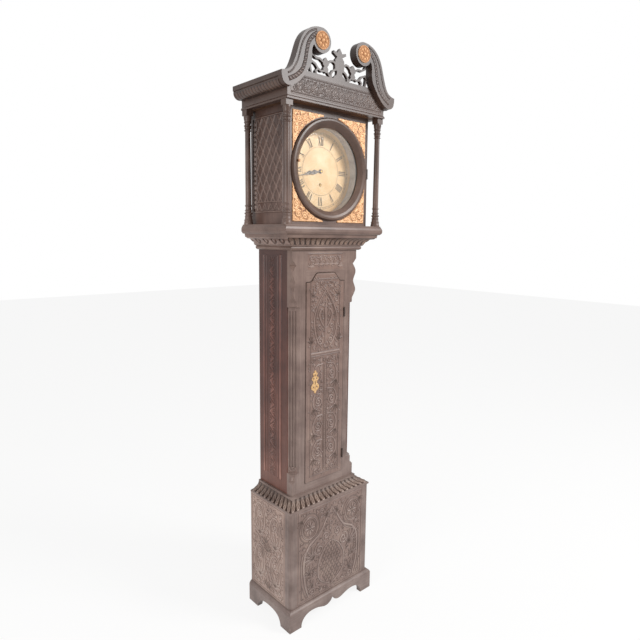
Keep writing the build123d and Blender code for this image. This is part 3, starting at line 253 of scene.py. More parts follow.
node_finishes = {
    front_upright: ["base_side_panels", "hood_sides", "base_corner_posts", "trunk_stiles", "trunk_door",
                    "hood_columns", "hood_front_panel", "base_front_panel"],
    front_level: ["plinth_skirt", "base_top_moulding", "trunk_rails", "throat_moulding", "hood_base_frame",
                  "hood_frieze", "swan_neck_left", "swan_neck_right", "crest_fretwork"],
    shaded_side_upright: ["trunk_sides"],
    side_level: ["cornice_moulding"],
    bezel_oak: ["bezel_ring"],
    rough_pine: ["backboard", "base_floor", "hood_runners", "seatboard", "hood_top_board"],
    movement_brass: ["movement_back_plate", "movement_front_plate", "movement_pillars", "back_cock",
                     "great_wheel", "hour_wheel", "cannon_pinion", "minute_wheel", "winding_barrel",
                     "centre_wheel", "third_wheel", "escape_wheel", "line_pulley", "pulley_stirrup",
                     "rating_nut"],
    bob_brass: ["pendulum_bob"],
    gilt: ["corner_spandrels"],
    rosette_gilt: ["rosettes", "bezel_catch"],
    key_plate_brass: ["key_escutcheon"],
    dial_enamel: ["dial_plate"],
    silvered_brass: ["dial_collar"],
    blued_steel: ["hour_hand", "minute_hand", "pallet_anchor", "pendulum_rod", "lock_bolt", "lock_case"],
    hinge_iron: ["door_hinge_posts", "door_hinge_leaves", "bezel_hinge_fixed_leaf", "bezel_hinge_leaf"],
    cast_iron: ["weight"],
    twisted_gut: ["gut_line"],
    window_glass: ["bezel_glass"],
}
for finish, names in node_finishes.items():
    for name in names:
        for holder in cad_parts[name].material_slots:
            holder.link = "OBJECT"
            holder.material = finish


# Meshes

def new_piece(name, points, faces, finish, body, relief=None, smooth=True):
    """A mesh piece in millimetres that rides on a body, unless it has none."""
    mesh = bpy.data.meshes.new(name)
    mesh.from_pydata((np.reshape(points, (-1, 3)) * MM).tolist(), [], [list(face) for face in faces])
    if relief is not None:
        mesh.attributes.new("relief", "FLOAT", "POINT").data.foreach_set("value", np.ravel(relief).astype(float))
    if smooth:
        mesh.shade_smooth()
    mesh.validate()
    mesh.materials.append(finish)
    piece = bpy.data.objects.new(name, mesh)
    bpy.context.scene.collection.objects.link(piece)
    if body:
        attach(piece, body)
    return piece


def grid_faces(columns, rows, keep=None):
    """Faces of a grid whose points run along each row in turn."""
    start = np.arange(rows - 1)[:, None] * columns + np.arange(columns - 1)[None, :]
    faces = np.stack([start, start + 1, start + columns + 1, start + columns], axis=-1)
    return faces.reshape(-1, 4) if keep is None else faces[keep]


def ring_faces(rings, sides):
    """Faces between closed rings of points."""
    ring = np.arange(rings - 1)[:, None] * sides
    here = np.arange(sides)[None, :]
    after = (here + 1) % sides
    return np.stack([ring + here, ring + after, ring + sides + after, ring + sides + here], -1).reshape(-1, 4)


def run_along(line):
    """How far each point of a line lies along it."""
    return np.concatenate([[0], np.cumsum(np.hypot(*np.diff(line, axis=0).T))])


# Carving, drawn as heights over a flat drawing of the panel

def blank(width, height, cell):
    """Across and up positions, centred across, and a field of heights that starts flat."""
    across = np.linspace(-width / 2, width / 2, int(width / cell) + 1)
    up = np.linspace(0, height, int(height / cell) + 1)
    return across, up, np.zeros((len(up), len(across)))


def gouge(board, path, high=1.0, both=False, score=False):
    """Raises a rounded stroke along (across, up, half width) points, or scores one into raised work."""
    across, up, field = board
    if both:
        gouge(board, [(-x, y, w) for x, y, w in path], high, score=score)
    for (x0, y0, w0), (x1, y1, w1) in zip(path, path[1:]):
        reach = max(w0, w1)
        left, right = np.searchsorted(across, (min(x0, x1) - reach, max(x0, x1) + reach))
        low, top = np.searchsorted(up, (min(y0, y1) - reach, max(y0, y1) + reach))
        if right <= left or top <= low:
            continue
        px = across[None, left:right] - x0
        py = up[low:top, None] - y0
        dx, dy = x1 - x0, y1 - y0
        share = np.clip((px * dx + py * dy) / max(dx * dx + dy * dy, 1e-9), 0, 1)
        away = np.hypot(px - share * dx, py - share * dy) / np.maximum(w0 + (w1 - w0) * share, 1e-6)
        round_top = high * np.sqrt(np.clip(1 - away ** 2, 0, 1))
        if score:
            field[low:top, left:right] *= 1 - 0.62 * round_top
        else:
            field[low:top, left:right] = np.maximum(field[low:top, left:right], round_top)


def scroll(x, y, radius, turns, start, hand, wide=3.0, steps=26):
    """A spiral that winds inwards, ending in a round eye."""
    path = []
    for step in range(steps + 1):
        share = step / steps
        turn = math.radians(start) + hand * share * turns * 2 * math.pi
        reach = radius * (1 - 0.86 * share)
        path.append((x + reach * math.cos(turn), y + reach * math.sin(turn), wide * (0.7 + 0.5 * share)))
    return path


def leaf(x, y, angle, length, wide, curl):
    """A leaf that swells and then tapers, bending by curl degrees along its length."""
    path = []
    steps = 9
    for step in range(steps + 1):
        share = step / steps
        path.append((x, y, max(0.4, wide * math.sin(math.pi * (0.12 + 0.88 * share)) ** 0.8)))
        turn = math.radians(angle + curl * share)
        x += math.cos(turn) * length / steps
        y += math.sin(turn) * length / steps
    return path


def spray(board, x, y, angle, length, count=5, spread=120, both=False, high=1.0):
    """A fan of leaves from one point, the middle one longest, with veins scored in when it is large."""
    for number in range(count):
        share = number / (count - 1) - 0.5
        reach = length * (1 - 0.6 * abs(share))
        gouge(board, leaf(x, y, angle + spread * share, reach, max(0.9, length * 0.085), 40 * share), high, both)
    if length > 28:
        for number in range(2 * count - 1):
            share = number / (2 * count - 2) - 0.5
            vein = leaf(x, y, angle + spread * share, length * (0.8 - 0.45 * abs(share)), 1.0, 40 * share)
            gouge(board, [(px, py, 1.1) for px, py, _ in vein], 1.0, both, score=True)


def border(board, inset, wide, high):
    """A raised line round the panel."""
    across, up, _ = board
    half, top = across[-1] - inset, up[-1] - inset
    gouge(board, [(-half, inset, wide), (half, inset, wide), (half, top, wide), (-half, top, wide),
                  (-half, inset, wide)], high)


def undercut(board, relief_mm):
    """Heights in millimetres: a level ground, the raised work, and edges that sink into the board."""
    across, up, field = board
    ground, rim, sunk = 0.25, 2.0, -0.4
    edge = np.minimum(np.minimum(across - across[0], across[-1] - across)[None, :],
                      np.minimum(up - up[0], up[-1] - up)[:, None])
    heights = np.minimum(ground + relief_mm * field, ground + relief_mm * np.clip(edge / rim, 0, 1) * 2)
    return np.where(edge <= 1e-6, sunk, heights)


def carved_panel(name, board, origin, across_way, out_way, relief_mm, finish, body, keep=None):
    """A carved flat panel. origin is the middle of its lower edge; up is always +Z."""
    across, up, field = board
    heights = undercut(board, relief_mm)
    across_way, out_way = np.array(across_way, float), np.array(out_way, float)
    points = (np.array(origin, float) + across[None, :, None] * across_way
              + up[:, None, None] * np.array((0.0, 0.0, 1.0)) + heights[..., None] * out_way)
    faces = grid_faces(len(across), len(up), keep)
    if np.dot(np.cross(across_way, (0, 0, 1)), out_way) < 0:
        faces = faces[:, ::-1]
    return new_piece(name, points, faces, finish, body, relief=field)


# The ways across and outwards on each face
FRONT = ((1, 0, 0), (0, -1, 0))
LEFT = ((0, -1, 0), (-1, 0, 0))
RIGHT = ((0, 1, 0), (1, 0, 0))


def oval(x, y, across, up, start=0, end=360, wide=2.0):
    """Part of an ellipse as a stroke."""
    turns = np.radians(np.linspace(start, end, 29))
    return [(x + across * math.cos(t), y + up * math.sin(t), wide) for t in turns]


def sweep(points, wide, taper=0.35, steps=10):
    """A smooth stroke through a few points, thin at its ends."""
    ends = [points[0]] + list(points) + [points[-1]]
    path = []
    for a, b, c, d in zip(ends, ends[1:], ends[2:], ends[3:]):
        for step in range(steps):
            t = step / steps
            path.append([0.5 * (2 * q + (r - p) * t + (2 * p - 5 * q + 4 * r - s) * t * t
                                + (3 * q - p - 3 * r + s) * t ** 3) for p, q, r, s in zip(a, b, c, d)])
    path.append(list(points[-1]))
    last = len(path) - 1
    return [(x, y, wide * (taper + (1 - taper) * math.sin(math.pi * n / last))) for n, (x, y) in enumerate(path)]


def rosette_carving(board, x, y, across, up, high=0.9):
    """An oval boss of petals inside two rings."""
    gouge(board, oval(x, y, across, up, wide=2.2), high * 0.8)
    gouge(board, oval(x, y, across * 0.78, up * 0.78, wide=1.4), high * 0.6)
    for petal in range(8):
        turn = 2 * math.pi * petal / 8
        gouge(board, [(x + across * out * math.cos(turn), y + up * out * math.sin(turn), wide)
                      for out, wide in ((0.16, 1.5), (0.42, 4.2), (0.62, 1.6))], high)
    gouge(board, [(x, y, 4.0), (x, y + 0.1, 4.0)], high)


def fill_ground(board, sizes=(26, 19, 14, 10, 7), tries=500, high=0.7):
    """Small leaves and curls wherever the ground is still bare, as the whole face is carved."""
    across, up, field = board
    for size in sizes:
        for _ in range(tries):
            x = rng.uniform(across[0] + size * 0.6 + 9, across[-1] - size * 0.6 - 9)
            y = rng.uniform(up[0] + size * 0.6 + 9, up[-1] - size * 0.6 - 9)
            kind, angle = rng.random(), rng.uniform(0, 360)
            left, right = np.searchsorted(across, (x - size / 2, x + size / 2))
            low, top = np.searchsorted(up, (y - size / 2, y + size / 2))
            window = field[low:top, left:right]
            if window.size and window.max() < 0.12:
                if kind < 0.35:
                    gouge(board, scroll(x, y, size * 0.42, 1.4, angle, 1 if kind < 0.18 else -1,
                                        size * 0.09 + 0.5, 16), high)
                else:
                    turn = math.radians(angle)
                    spray(board, x - math.cos(turn) * size * 0.42, y - math.sin(turn) * size * 0.42, angle,
                          size * 0.86, 4 if size < 12 else 5, 100, high=high)


def base_front():
    """Great S-shaped straps that rise from the feet to the top middle, bosses beside them, and a latticed heart."""
    board = blank(347, 384, 1.15)
    border(board, 7, 2.0, 0.6)
    gouge(board, [(-152, 20, 1.8), (-152, 210, 1.8)], 0.5, both=True)
    for shift, wide, high in ((0, 4.6, 0.95), (-13, 2.4, 0.65), (12, 2.0, 0.55)):
        gouge(board, sweep([(2, 352 + shift * 0.6), (-24, 318), (-62 + shift * 0.5, 262 + shift),
                            (-112 + shift * 0.3, 232 + shift), (-136 + shift, 196), (-142 + shift, 140),
                            (-134 + shift, 70), (-118 + shift, 22)], wide, 0.6), high, both=True)
    for side in (-1, 1):
        rosette_carving(board, side * 112, 302, 38, 44)
        gouge(board, oval(side * 112, 302, 50, 58, 40, 230 if side > 0 else 400, 1.8), 0.5)
        for x, y, lean, length, count, spread, high in (
                (150, 344, 150, 34, 4, 90, 0.7), (36, 330, -100, 44, 5, 80, 0.7), (92, 166, 35, 62, 7, 130, 0.85),
                (112, 108, 30, 46, 5, 110, 0.8), (96, 52, 60, 42, 5, 120, 0.75)):
            spray(board, side * x, y, 90 - side * lean, length, count, spread, high=high)
        for x, y, radius, turns, start, hand, wide, high in (
                (64, 196, 26, 1.6, 90, -1, 3.2, 0.85), (98, 30, 17, 1.4, 180, 1, 2.6, 0.75),
                (30, 240, 20, 1.5, 270, 1, 2.8, 0.8)):
            gouge(board, scroll(side * x, y, radius, turns, start, side * hand, wide), high)
    gouge(board, sweep([(0, 214), (40, 186), (68, 130), (60, 66), (0, 24)], 3.2, 0.6), 0.75, both=True)
    for number in range(-6, 7):
        for way in (-1, 1):
            inside = []
            for y in range(30, 211, 3):
                x = number * 17 + way * (y - 115) * 0.62
                heart = 58 * math.sin(math.pi * min(1, max(0, (y - 26) / 188))) ** 0.6 - 4
                if abs(x) < heart:
                    inside.append((x, y, 1.5))
            if len(inside) > 2:
                gouge(board, [inside[0], inside[-1]], 0.55)
    fill_ground(board)
    # The panel is two boards, with their joint down the middle
    across, _, field = board
    field[:, np.abs(across) < 0.9] = 0.0
    return board


def base_side():
    """Two columns of long hoops, each with a fan of leaves under it."""
    board = blank(220, 384, 1.5)
    border(board, 7, 2.0, 0.6)
    for side, y in ((-1, 262), (1, 236), (-1, 84), (1, 78)):
        x = side * 50
        gouge(board, oval(x, y + 34, 34, 66, wide=2.4), 0.75)
        gouge(board, oval(x, y + 40, 24, 50, wide=1.6), 0.6)
        gouge(board, scroll(x, y + 58, 17, 1.5, 90, side, 3.2), 0.9)
        spray(board, x, y - 26, 90, 54, 7, 150, high=0.9)
        spray(board, x - side * 36, y - 54, 90 + side * 30, 34, 4, 90, high=0.7)
    spray(board, 0, 176, 90, 40, 5, 130, high=0.7)
    fill_ground(board)
    return board


def door_front():
    """A pointed oval with a lily in the upper panel, a cross bar, and paired scrolls down both sides below it."""
    board = blank(186, 800, 1.25)
    border(board, 20, 2.0, 0.55)
    for inset, wide, high in ((0, 3.0, 0.85), (9, 1.5, 0.55)):
        gouge(board, sweep([(0, 742 - inset * 1.6), (34 - inset * 0.6, 694), (57 - inset, 634),
                            (48 - inset, 566 + inset * 0.5), (20, 524 + inset)], wide, 0.7), high, both=True)
    gouge(board, [(0, 536, 2.0), (0, 612, 5.0), (0, 662, 7.5), (0, 704, 1.0)], 0.95)
    gouge(board, sweep([(4, 596), (20, 616), (32, 648), (20, 668), (12, 654)], 4.2), 0.9, both=True)
    gouge(board, scroll(26, 548, 17, 1.5, 90, -1, 3.2), 0.9, both=True)
    gouge(board, scroll(30, 600, 12, 1.3, 270, 1, 2.6), 0.8, both=True)
    for x, y, angle, length, spread, high in ((14, 680, 70, 26, 90, 0.75), (66, 716, 120, 30, 100, 0.65),
                                              (68, 540, 80, 36, 80, 0.65)):
        spray(board, x, y, angle, length, 4, spread, both=True, high=high)
    gouge(board, [(-70, 502, 4.5), (70, 502, 4.5)], 0.9)
    gouge(board, [(-70, 492, 1.6), (70, 492, 1.6)], 0.5)
    for y in range(40, 452, 8):
        gouge(board, [(0, y, 2.4), (0, y + 3.5, 2.4)], 0.8)
    gouge(board, [(7, 34, 1.2), (7, 456, 1.2)], 0.5, both=True)
    for y in (436, 336, 236, 136):
        gouge(board, sweep([(12, y + 22), (44, y + 16), (60, y - 16), (52, y - 46), (24, y - 62)], 3.4, 0.6),
              0.85, both=True)
        gouge(board, scroll(34, y - 22, 19, 1.7, 300, -1, 3.2), 0.9, both=True)
        spray(board, 60, y - 52, 235, 34, 5, 110, both=True, high=0.8)
        spray(board, 18, y + 6, 20, 26, 4, 90, both=True, high=0.7)
    fill_ground(board, tries=900, high=0.8)
    across, up, field = board
    # The ground is left flat where the key plate lies
    field[np.ix_((up > 344) & (up < 444), (across > -74) & (across < -27))] = 0.0
    return board


def door_keep(board):
    """Cells of the grid that lie on the door, below its shaped head."""
    across, up, _ = board
    middle = (np.abs(across[:-1]) + np.abs(across[1:])) / 2
    shoulder, shoulder_half, rise, edge = 770.0, 78, 33, 1.5
    share = np.clip((shoulder_half - middle) / 40, 0, 1)
    head = shoulder + rise * (1 - np.cos(math.pi * share)) / 2 - edge
    return up[1:, None] <= head[None, :]


def side_strip(length):
    """A chain of small leaves between two beads, on the side of the trunk."""
    board = blank(118, length, 1.5)
    for x, wide, high in ((-55, 4.5, 1.0), (-38, 2.2, 0.7), (30, 2.2, 0.7), (47, 7.0, 1.0)):
        gouge(board, [(x, 6, wide), (x, length - 6, wide)], high)
    for level in range(int((length - 30) / 30)):
        y = 16 + level * 30
        side = 1 if level % 2 else -1
        fade = 0.45 + 0.55 * min(1, level / 9)
        gouge(board, [(-4 - side * 10, y - 12, 2.5), (-4 + side * 11, y + 5, 3.5), (-4 - side * 10, y + 20, 2.5)],
              0.8 * fade)
        spray(board, -4 + side * 5, y, 90 + side * 80, 24, 5, 120, high=0.9 * fade)
    across, up, field = board
    inside = (across > -34) & (across < 26)
    middle = (across[inside], up, field[:, inside])
    fill_ground(middle, (9, 6), 1500)
    field[:, inside] = middle[2]
    return board


def trunk_frieze():
    """Small upright leaves in a row over the door's head."""
    board = blank(176, 64, 1.15)
    for column in range(-3, 4):
        x = column * 24
        gouge(board, scroll(x, 40, 8, 1.2, 90, 1 if column % 2 else -1, 2.2, 14), 0.8)
        spray(board, x, 8 + (8 if abs(column) < 3 else 0), 90, 24, 5, 120, high=0.8)
    gouge(board, [(-84, 58, 1.4), (84, 58, 1.4)], 0.5)
    fill_ground(board, (9, 6), 300)
    return board


def hood_side():
    """A sloping lattice with a column of beads at the back edge and chevrons along the bottom."""
    board = blank(200, 396, 1.5)
    across, up, field = board
    slope = 1.62
    for number in range(-6, 12):
        for shift, wide, high in ((0, 3.0, 0.95), (10, 1.6, 0.5), (-10, 1.6, 0.5)):
            y = number * 62 + shift
            gouge(board, [(-66, y, wide), (92, y + 158 * slope, wide)], high)
            gouge(board, [(-66, y + 158 * slope, wide), (92, y, wide)], high)
    field[:, (across < -66) | (across > 88)] = 0.0
    field[(up < 78) | (up > 366)] = 0.0
    gouge(board, [(-86, 44, 2.4), (86, 44, 2.4), (86, 370, 2.4), (-86, 370, 2.4), (-86, 44, 2.4)], 0.8)
    gouge(board, [(-66, 78, 2.0), (86, 78, 2.0)], 0.7)
    gouge(board, [(-66, 44, 2.0), (-66, 370, 2.0)], 0.7)
    for number in range(18):
        gouge(board, [(-76, 60 + number * 17, 6.0), (-76, 64 + number * 17, 6.0)], 1.0)
    for number in range(5):
        x = -50 + number * 34
        for half, top, wide, tip, high in ((14, 72, 2.4, 2.8, 0.9), (6, 60, 1.6, 1.8, 0.7)):
            gouge(board, [(x - half, 50, wide), (x, top, tip), (x + half, 50, wide)], high)
    return board


def frieze_strip():
    """A strip of small running leaves between two lines."""
    board = blank(430, 66, 1.25)
    gouge(board, [(-212, 8, 1.8), (212, 8, 1.8)], 0.6)
    gouge(board, [(-212, 60, 1.8), (212, 60, 1.8)], 0.6)
    for column in range(-13, 14):
        x = column * 15.5
        up_down = 1 if column % 2 else -1
        gouge(board, scroll(x, 34 + up_down * 9, 9, 1.2, 90 * up_down, up_down, 2.4, 14), 0.8)
        spray(board, x, 34, 90 + up_down * 60, 17, 4, 100, high=0.7)
    fill_ground(board, (9, 6, 5), 900)
    return board


carved_panel("base_front_carving", base_front(), (0, at(BASE_FACE), PANEL_FOOT), *FRONT, 3.2, front_carved, "case")
for (side_name, sign), ways in zip(SIDES, (LEFT, RIGHT)):
    carved_panel("base_side_carving_" + side_name, base_side(), (sign * BASE_HALF, at(112.25), PANEL_FOOT), *ways,
                 3.0, lit_base_side_carved, "case")
    carved_panel("trunk_side_carving_" + side_name, side_strip(862), (sign * TRUNK_HALF, at(86), 550), *ways, 2.8,
                 side_carved, "case")
    carved_panel("hood_side_carving_" + side_name, hood_side(), (sign * HOOD_HALF, at(102), 1518), *ways, 3.4,
                 hood_carved, "hood")
door = door_front()
carved_panel("trunk_door_carving", door, (0, at(DOOR_FACE), 541), *FRONT, 3.0, front_carved, "door",
             door_keep(door))
carved_panel("trunk_frieze_carving", trunk_frieze(), (0, at(TRUNK_FACE), 1356), *FRONT, 1.6, front_carved, "case")
carved_panel("hood_frieze_carving", frieze_strip(), (0, at(FRIEZE_FACE), 1930), *FRONT, 1.6, front_carved, "hood")


# Ornament that runs along the mouldings

def along_moulding(length, profile, field_of, place, cell=1.8):
    """A carved skin over a moulding: profile is (reach, height) points from the bottom up, place puts it on a side."""
    profile = np.array(profile, float)
    run = run_along(profile)
    up = np.linspace(0, run[-1], int(run[-1] / cell) + 1)
    reach, height = np.interp(up, run, profile[:, 0]), np.interp(up, run, profile[:, 1])
    slope_reach, slope_height = np.gradient(reach), np.gradient(height)
    size = np.hypot(slope_reach, slope_height)
    out_reach, out_height = slope_height / size, -slope_reach / size
    across = np.linspace(-length / 2, length / 2, int(length / cell) + 1)
    field, proud = field_of(across, up / run[-1])
    points = place(across[None, :], reach[:, None] + proud * out_reach[:, None],
                   height[:, None] + proud * out_height[:, None])
    return np.stack(np.broadcast_arrays(*points), -1), grid_faces(len(across), len(up)), field


def leaf_row(pitch, relief_mm, ground=0.3):
    """A row of upright leaves with veins, with deep hollows between their lower ends."""
    def heights(across, up):
        share = (across / pitch) % 1.0 - 0.5
        u = up[:, None]
        half = 0.47 * np.sqrt(np.clip(np.sin(math.pi * np.clip(0.12 + 0.8 * (1 - u), 0, 1)), 0, 1))
        body = np.sqrt(np.clip(1 - (share[None, :] / np.maximum(half, 1e-3)) ** 2, 0, 1))
        vein = 1 - 0.45 * np.exp(-(share[None, :] / 0.05) ** 2)
        lobes = 0.82 + 0.18 * np.cos(u * 5 * math.pi + np.abs(share[None, :]) * 14)
        field = body * vein * lobes * (0.5 + 0.5 * (1 - u))
        edge = np.minimum(np.clip(u / 0.06, 0, 1), np.clip((1 - u) / 0.06, 0, 1))
        return field, np.where(edge <= 0, -0.3, ground + relief_mm * field * edge)
    return heights


def gadroons(pitch, relief_mm):
    """A row of upright lobes."""
    def heights(across, up):
        share = (across / pitch) % 1.0 - 0.5
        lobe = np.sqrt(np.clip(1 - (share[None, :] / 0.48) ** 2, 0, 1)) * np.sin(math.pi * up[:, None]) ** 0.5
        edge = np.sin(math.pi * up[:, None])
        return lobe * np.ones_like(up[:, None]), np.where(edge <= 1e-6, -0.3, 0.2 + relief_mm * lobe)
    return heights


def bosses(pitch, relief_mm):
    """A row of round bosses in sunk rings."""
    def heights(across, up):
        share = ((across / pitch) % 1.0 - 0.5) * pitch
        away = np.hypot(share[None, :], (up[:, None] - 0.42) * 34)
        field = np.maximum(np.sqrt(np.clip(1 - (away / 8.5) ** 2, 0, 1)), np.clip((away - 11) / 6, 0, 0.7))
        edge = np.sin(math.pi * up[:, None])
        return field, np.where(edge <= 1e-6, -0.3, 0.2 + relief_mm * field * np.clip(edge * 4, 0, 1))
    return heights


def dress_moulding(name, profile, side_scale, field_of, side_field_of, side_finish, cell):
    """The carved skin on the front and both sides of a mitred moulding of the trunk."""
    top_reach = min(reach for reach, _ in profile)
    half = TRUNK_HALF + top_reach * side_scale
    length = TRUNK_FACE + top_reach
    points, faces, field = along_moulding(
        2 * half, profile, field_of,
        lambda a, r, h: (a * (1 + (r - top_reach) * side_scale / half), at(TRUNK_FACE + r), h), cell)
    new_piece(name + "_front", points, faces, deep_carved, "case", relief=field)
    for side_name, sign in SIDES:
        points, faces, field = along_moulding(
            length, profile, side_field_of,
            lambda a, r, h: (sign * (TRUNK_HALF + r * side_scale),
                             at((a + length / 2) * (1 + (r - top_reach) / length)), h), cell)
        new_piece(name + "_" + side_name, points, faces if sign > 0 else faces[:, ::-1], side_finish, "case",
                  relief=field)


def arc_points(centre, radii, start, end):
    """Points along part of an ellipse."""
    turns = np.radians(np.linspace(start, end, 11))
    return [(centre[0] + radii[0] * math.cos(t), centre[1] + radii[1] * math.sin(t)) for t in turns]


dress_moulding("base_top_leaves", arc_points((50, 500), (41, 26), 268, 184), 47 / 51, leaf_row(21, 6.5),
               leaf_row(21, 6.5), deep_carved, 1.3)
dress_moulding("throat_leaves", arc_points((49, 1446), (32, 26), 178, 96), 61 / 49, leaf_row(23, 3.6),
               bosses(46, 4.5), hood_carved, 1.4)

CORNICE_HALF = 228
ovolo = [(reach, height) for height, reach in arc_points((1971, 10), (23, 25), 184, 96)]
for side_name, sign in SIDES:
    points, faces, field = along_moulding(258.0, ovolo, gadroons(17, 2.0),
                                          lambda a, r, h: (sign * (CORNICE_HALF + r), at(a + 130.5), h))
    new_piece("cornice_gadroons_" + side_name, points, faces if sign > 0 else faces[:, ::-1], front_carved, "hood",
              relief=field)


# Swan necks: a gadrooned band inside the raking edge, round the scroll

def neck_band(name, sign, centre_line, half_wide, lobes, relief_mm, finish):
    """A lobed band on the front of a scroll that follows a line of (x, z) points."""
    line = np.array(centre_line, float) * (sign, 1)
    run = run_along(line)
    along = np.linspace(0, run[-1], int(run[-1] / 1.2))
    x, z = np.interp(along, run, line[:, 0]), np.interp(along, run, line[:, 1])
    dx, dz = np.gradient(x), np.gradient(z)
    size = np.hypot(dx, dz)
    over = np.linspace(-1, 1, 11)[:, None]
    wave = np.abs(np.sin(math.pi * (along / run[-1] * lobes) + over * 0.9))
    field = wave ** 0.7 * np.sqrt(np.clip(1 - over ** 2, 0, 1))
    lift = np.where(np.abs(over) > 0.99, -0.3, 0.3 + relief_mm * field)
    points = np.stack([x - over * half_wide * dz / size, at(SCROLL_FACE) - lift,
                       z + over * half_wide * dx / size], -1)
    return new_piece(name, points, grid_faces(len(along), len(over)), finish, "hood", relief=field)


def smooth_line(points):
    """A smooth line of (x, z) through a few points."""
    return [(x, z) for x, z, _ in sweep(points, 1.0, 1.0, 12)]


neck_inner = smooth_line([(236, 1967), (205, 1984), (182, 2006), (170, 2034), (164, 2064), (156, 2092),
                          (138, 2116), (118, 2130)])
neck_outer = smooth_line([(240, 1984), (222, 1996), (203, 2024), (192, 2054), (182, 2084), (168, 2108),
                          (148, 2128), (122, 2140)])
for side_name, sign in SIDES:
    neck_band("swan_neck_gadroons_" + side_name, sign, neck_inner, 7.5, 17, 2.2, front_carved)
    neck_band("swan_neck_bead_" + side_name, sign, neck_outer, 3.2, 0.5, 1.8, front_level)


# Turned rings on the columns, and the ornament at the feet of the canted corners

def turned_column(name, x, depth, profile):
    """A turned shape from (height, radius) points round an upright axis."""
    height, radius = np.array(profile).T[..., None]
    segments = 40
    turn = np.linspace(0, 2 * math.pi, segments, endpoint=False)
    points = np.stack(np.broadcast_arrays(x + radius * np.cos(turn), at(depth) + radius * np.sin(turn), height), -1)
    return new_piece(name, points, ring_faces(len(profile), segments), front_upright, "hood")


def bead_rings(rings, core, low, high):
    """A shaft profile with a rounded bead at each (height, radius, half height)."""
    heights = np.arange(low, high + 0.1, 0.7)
    radii = np.array([np.interp(h, *zip(*core)) for h in heights])
    for middle, radius, half in rings:
        bead = np.clip(1 - ((heights - middle) / half) ** 2, 0, None)
        radii = np.maximum(radii, radius - half + half * np.sqrt(bead) - (bead <= 0) * 9)
    return list(zip(heights, radii))


column_core = [(1522, 16.6), (1528, 15.4), (1540, 13.2), (1556, 11.2), (1570, 10.6), (1700, 10.2), (1850, 9.5),
               (1866, 10.4), (1880, 12.4), (1889, 14.2)]
column_rings = [(1532, 16.2, 3.0), (1546, 14.0, 2.4), (1557, 15.0, 3.6), (1567, 13.4, 2.4), (1584, 13.2, 2.4),
                (1846, 12.8, 2.2), (1862, 13.6, 2.6), (1874, 13.2, 2.0)]
COLUMN_HALF = 216
for side_name, sign in SIDES:
    for place_name, depth in (("front", 244.5), ("rear", 18.0)):
        turned_column("column_turning_" + place_name + "_" + side_name, sign * COLUMN_HALF, depth,
                      bead_rings(column_rings, column_core, 1522.3, 1888.5))


def cant_ornament(name, sign, leg, low, width, height, draw):
    """A carved ornament on the canted corner, which is cut back by leg."""
    across, up = np.linspace(-width / 2, width / 2, int(width) + 8), np.linspace(0, height, int(height) + 8)
    board = (across, up, np.zeros((len(up), len(across))))
    draw(board)
    back = math.sqrt(0.5)
    middle = np.array((sign * (TRUNK_HALF - leg / 2), at(TRUNK_FACE - leg / 2), low))
    points = (middle + across[None, :, None] * np.array((sign * back, back, 0.0))
              + up[:, None, None] * np.array((0.0, 0.0, 1.0))
              + (0.25 + 2.8 * board[2])[..., None] * np.array((sign * back, -back, 0.0)))
    faces = grid_faces(len(across), len(up))
    return new_piece(name, points, faces if sign > 0 else faces[:, ::-1], front_carved, "case",
                     relief=board[2])


def bead_fan(board):
    """A half ring of beads round a small leaf."""
    for number in range(9):
        turn = math.radians(190 + number * 20)
        gouge(board, [(13 * math.cos(turn), 20 + 14 * math.sin(turn), 2.3),
                      (13 * math.cos(turn), 20.2 + 14 * math.sin(turn), 2.3)], 1.0)
    spray(board, 0, 22, 270, 12, 5, 120, high=0.8)


def hanging_drop(board):
    """A pear-shaped drop."""
    gouge(board, [(0, 24, 0.8), (0, 15, 3.6), (0, 9, 4.6), (0, 2, 0.6)], 1.0)


for side_name, sign in SIDES:
    cant_ornament("cant_bead_fan_" + side_name, sign, 35.0, 592.5, 34, 22, bead_fan)
    cant_ornament("cant_drop_" + side_name, sign, 17.0, 561, 14, 26, hanging_drop)


# Rosettes, spandrels and dial

def petalled(name, x, z, radius, high):
    """A flower boss: a rim, eight veined petals and a domed eye."""
    rings, spokes = 26, 120
    reach = np.linspace(0, 1, rings)[:, None]
    turn = np.linspace(0, 2 * math.pi, spokes, endpoint=False)
    eye = np.clip(1 - (reach / 0.26) ** 2, 0, 1) ** 0.5
    petals = np.where((reach > 0.27) & (reach < 0.86), np.sin(math.pi * (reach - 0.27) / 0.59), 0)
    rim = np.exp(-((reach - 0.94) / 0.045) ** 2)
    field = np.clip(np.maximum(np.maximum(eye, 0.55 * rim), 0.75 * petals * np.abs(np.cos(4 * turn)) ** 0.5), 0, 1)
    lift = np.where(reach >= 1, -0.4, 1.2 + (high - 1.4) * field)
    points = np.stack(np.broadcast_arrays(x + radius * reach * np.cos(turn), at(SCROLL_FACE) - lift,
                                          z + radius * reach * np.sin(turn)), -1)
    return new_piece(name, points, ring_faces(rings, spokes)[:, ::-1], rosette_gilt, "hood", relief=field)


for side_name, sign in SIDES:
    flower = petalled("scroll_rosette_" + side_name, sign * 98, 2111, 28.8, 9.6)
    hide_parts("rosettes")


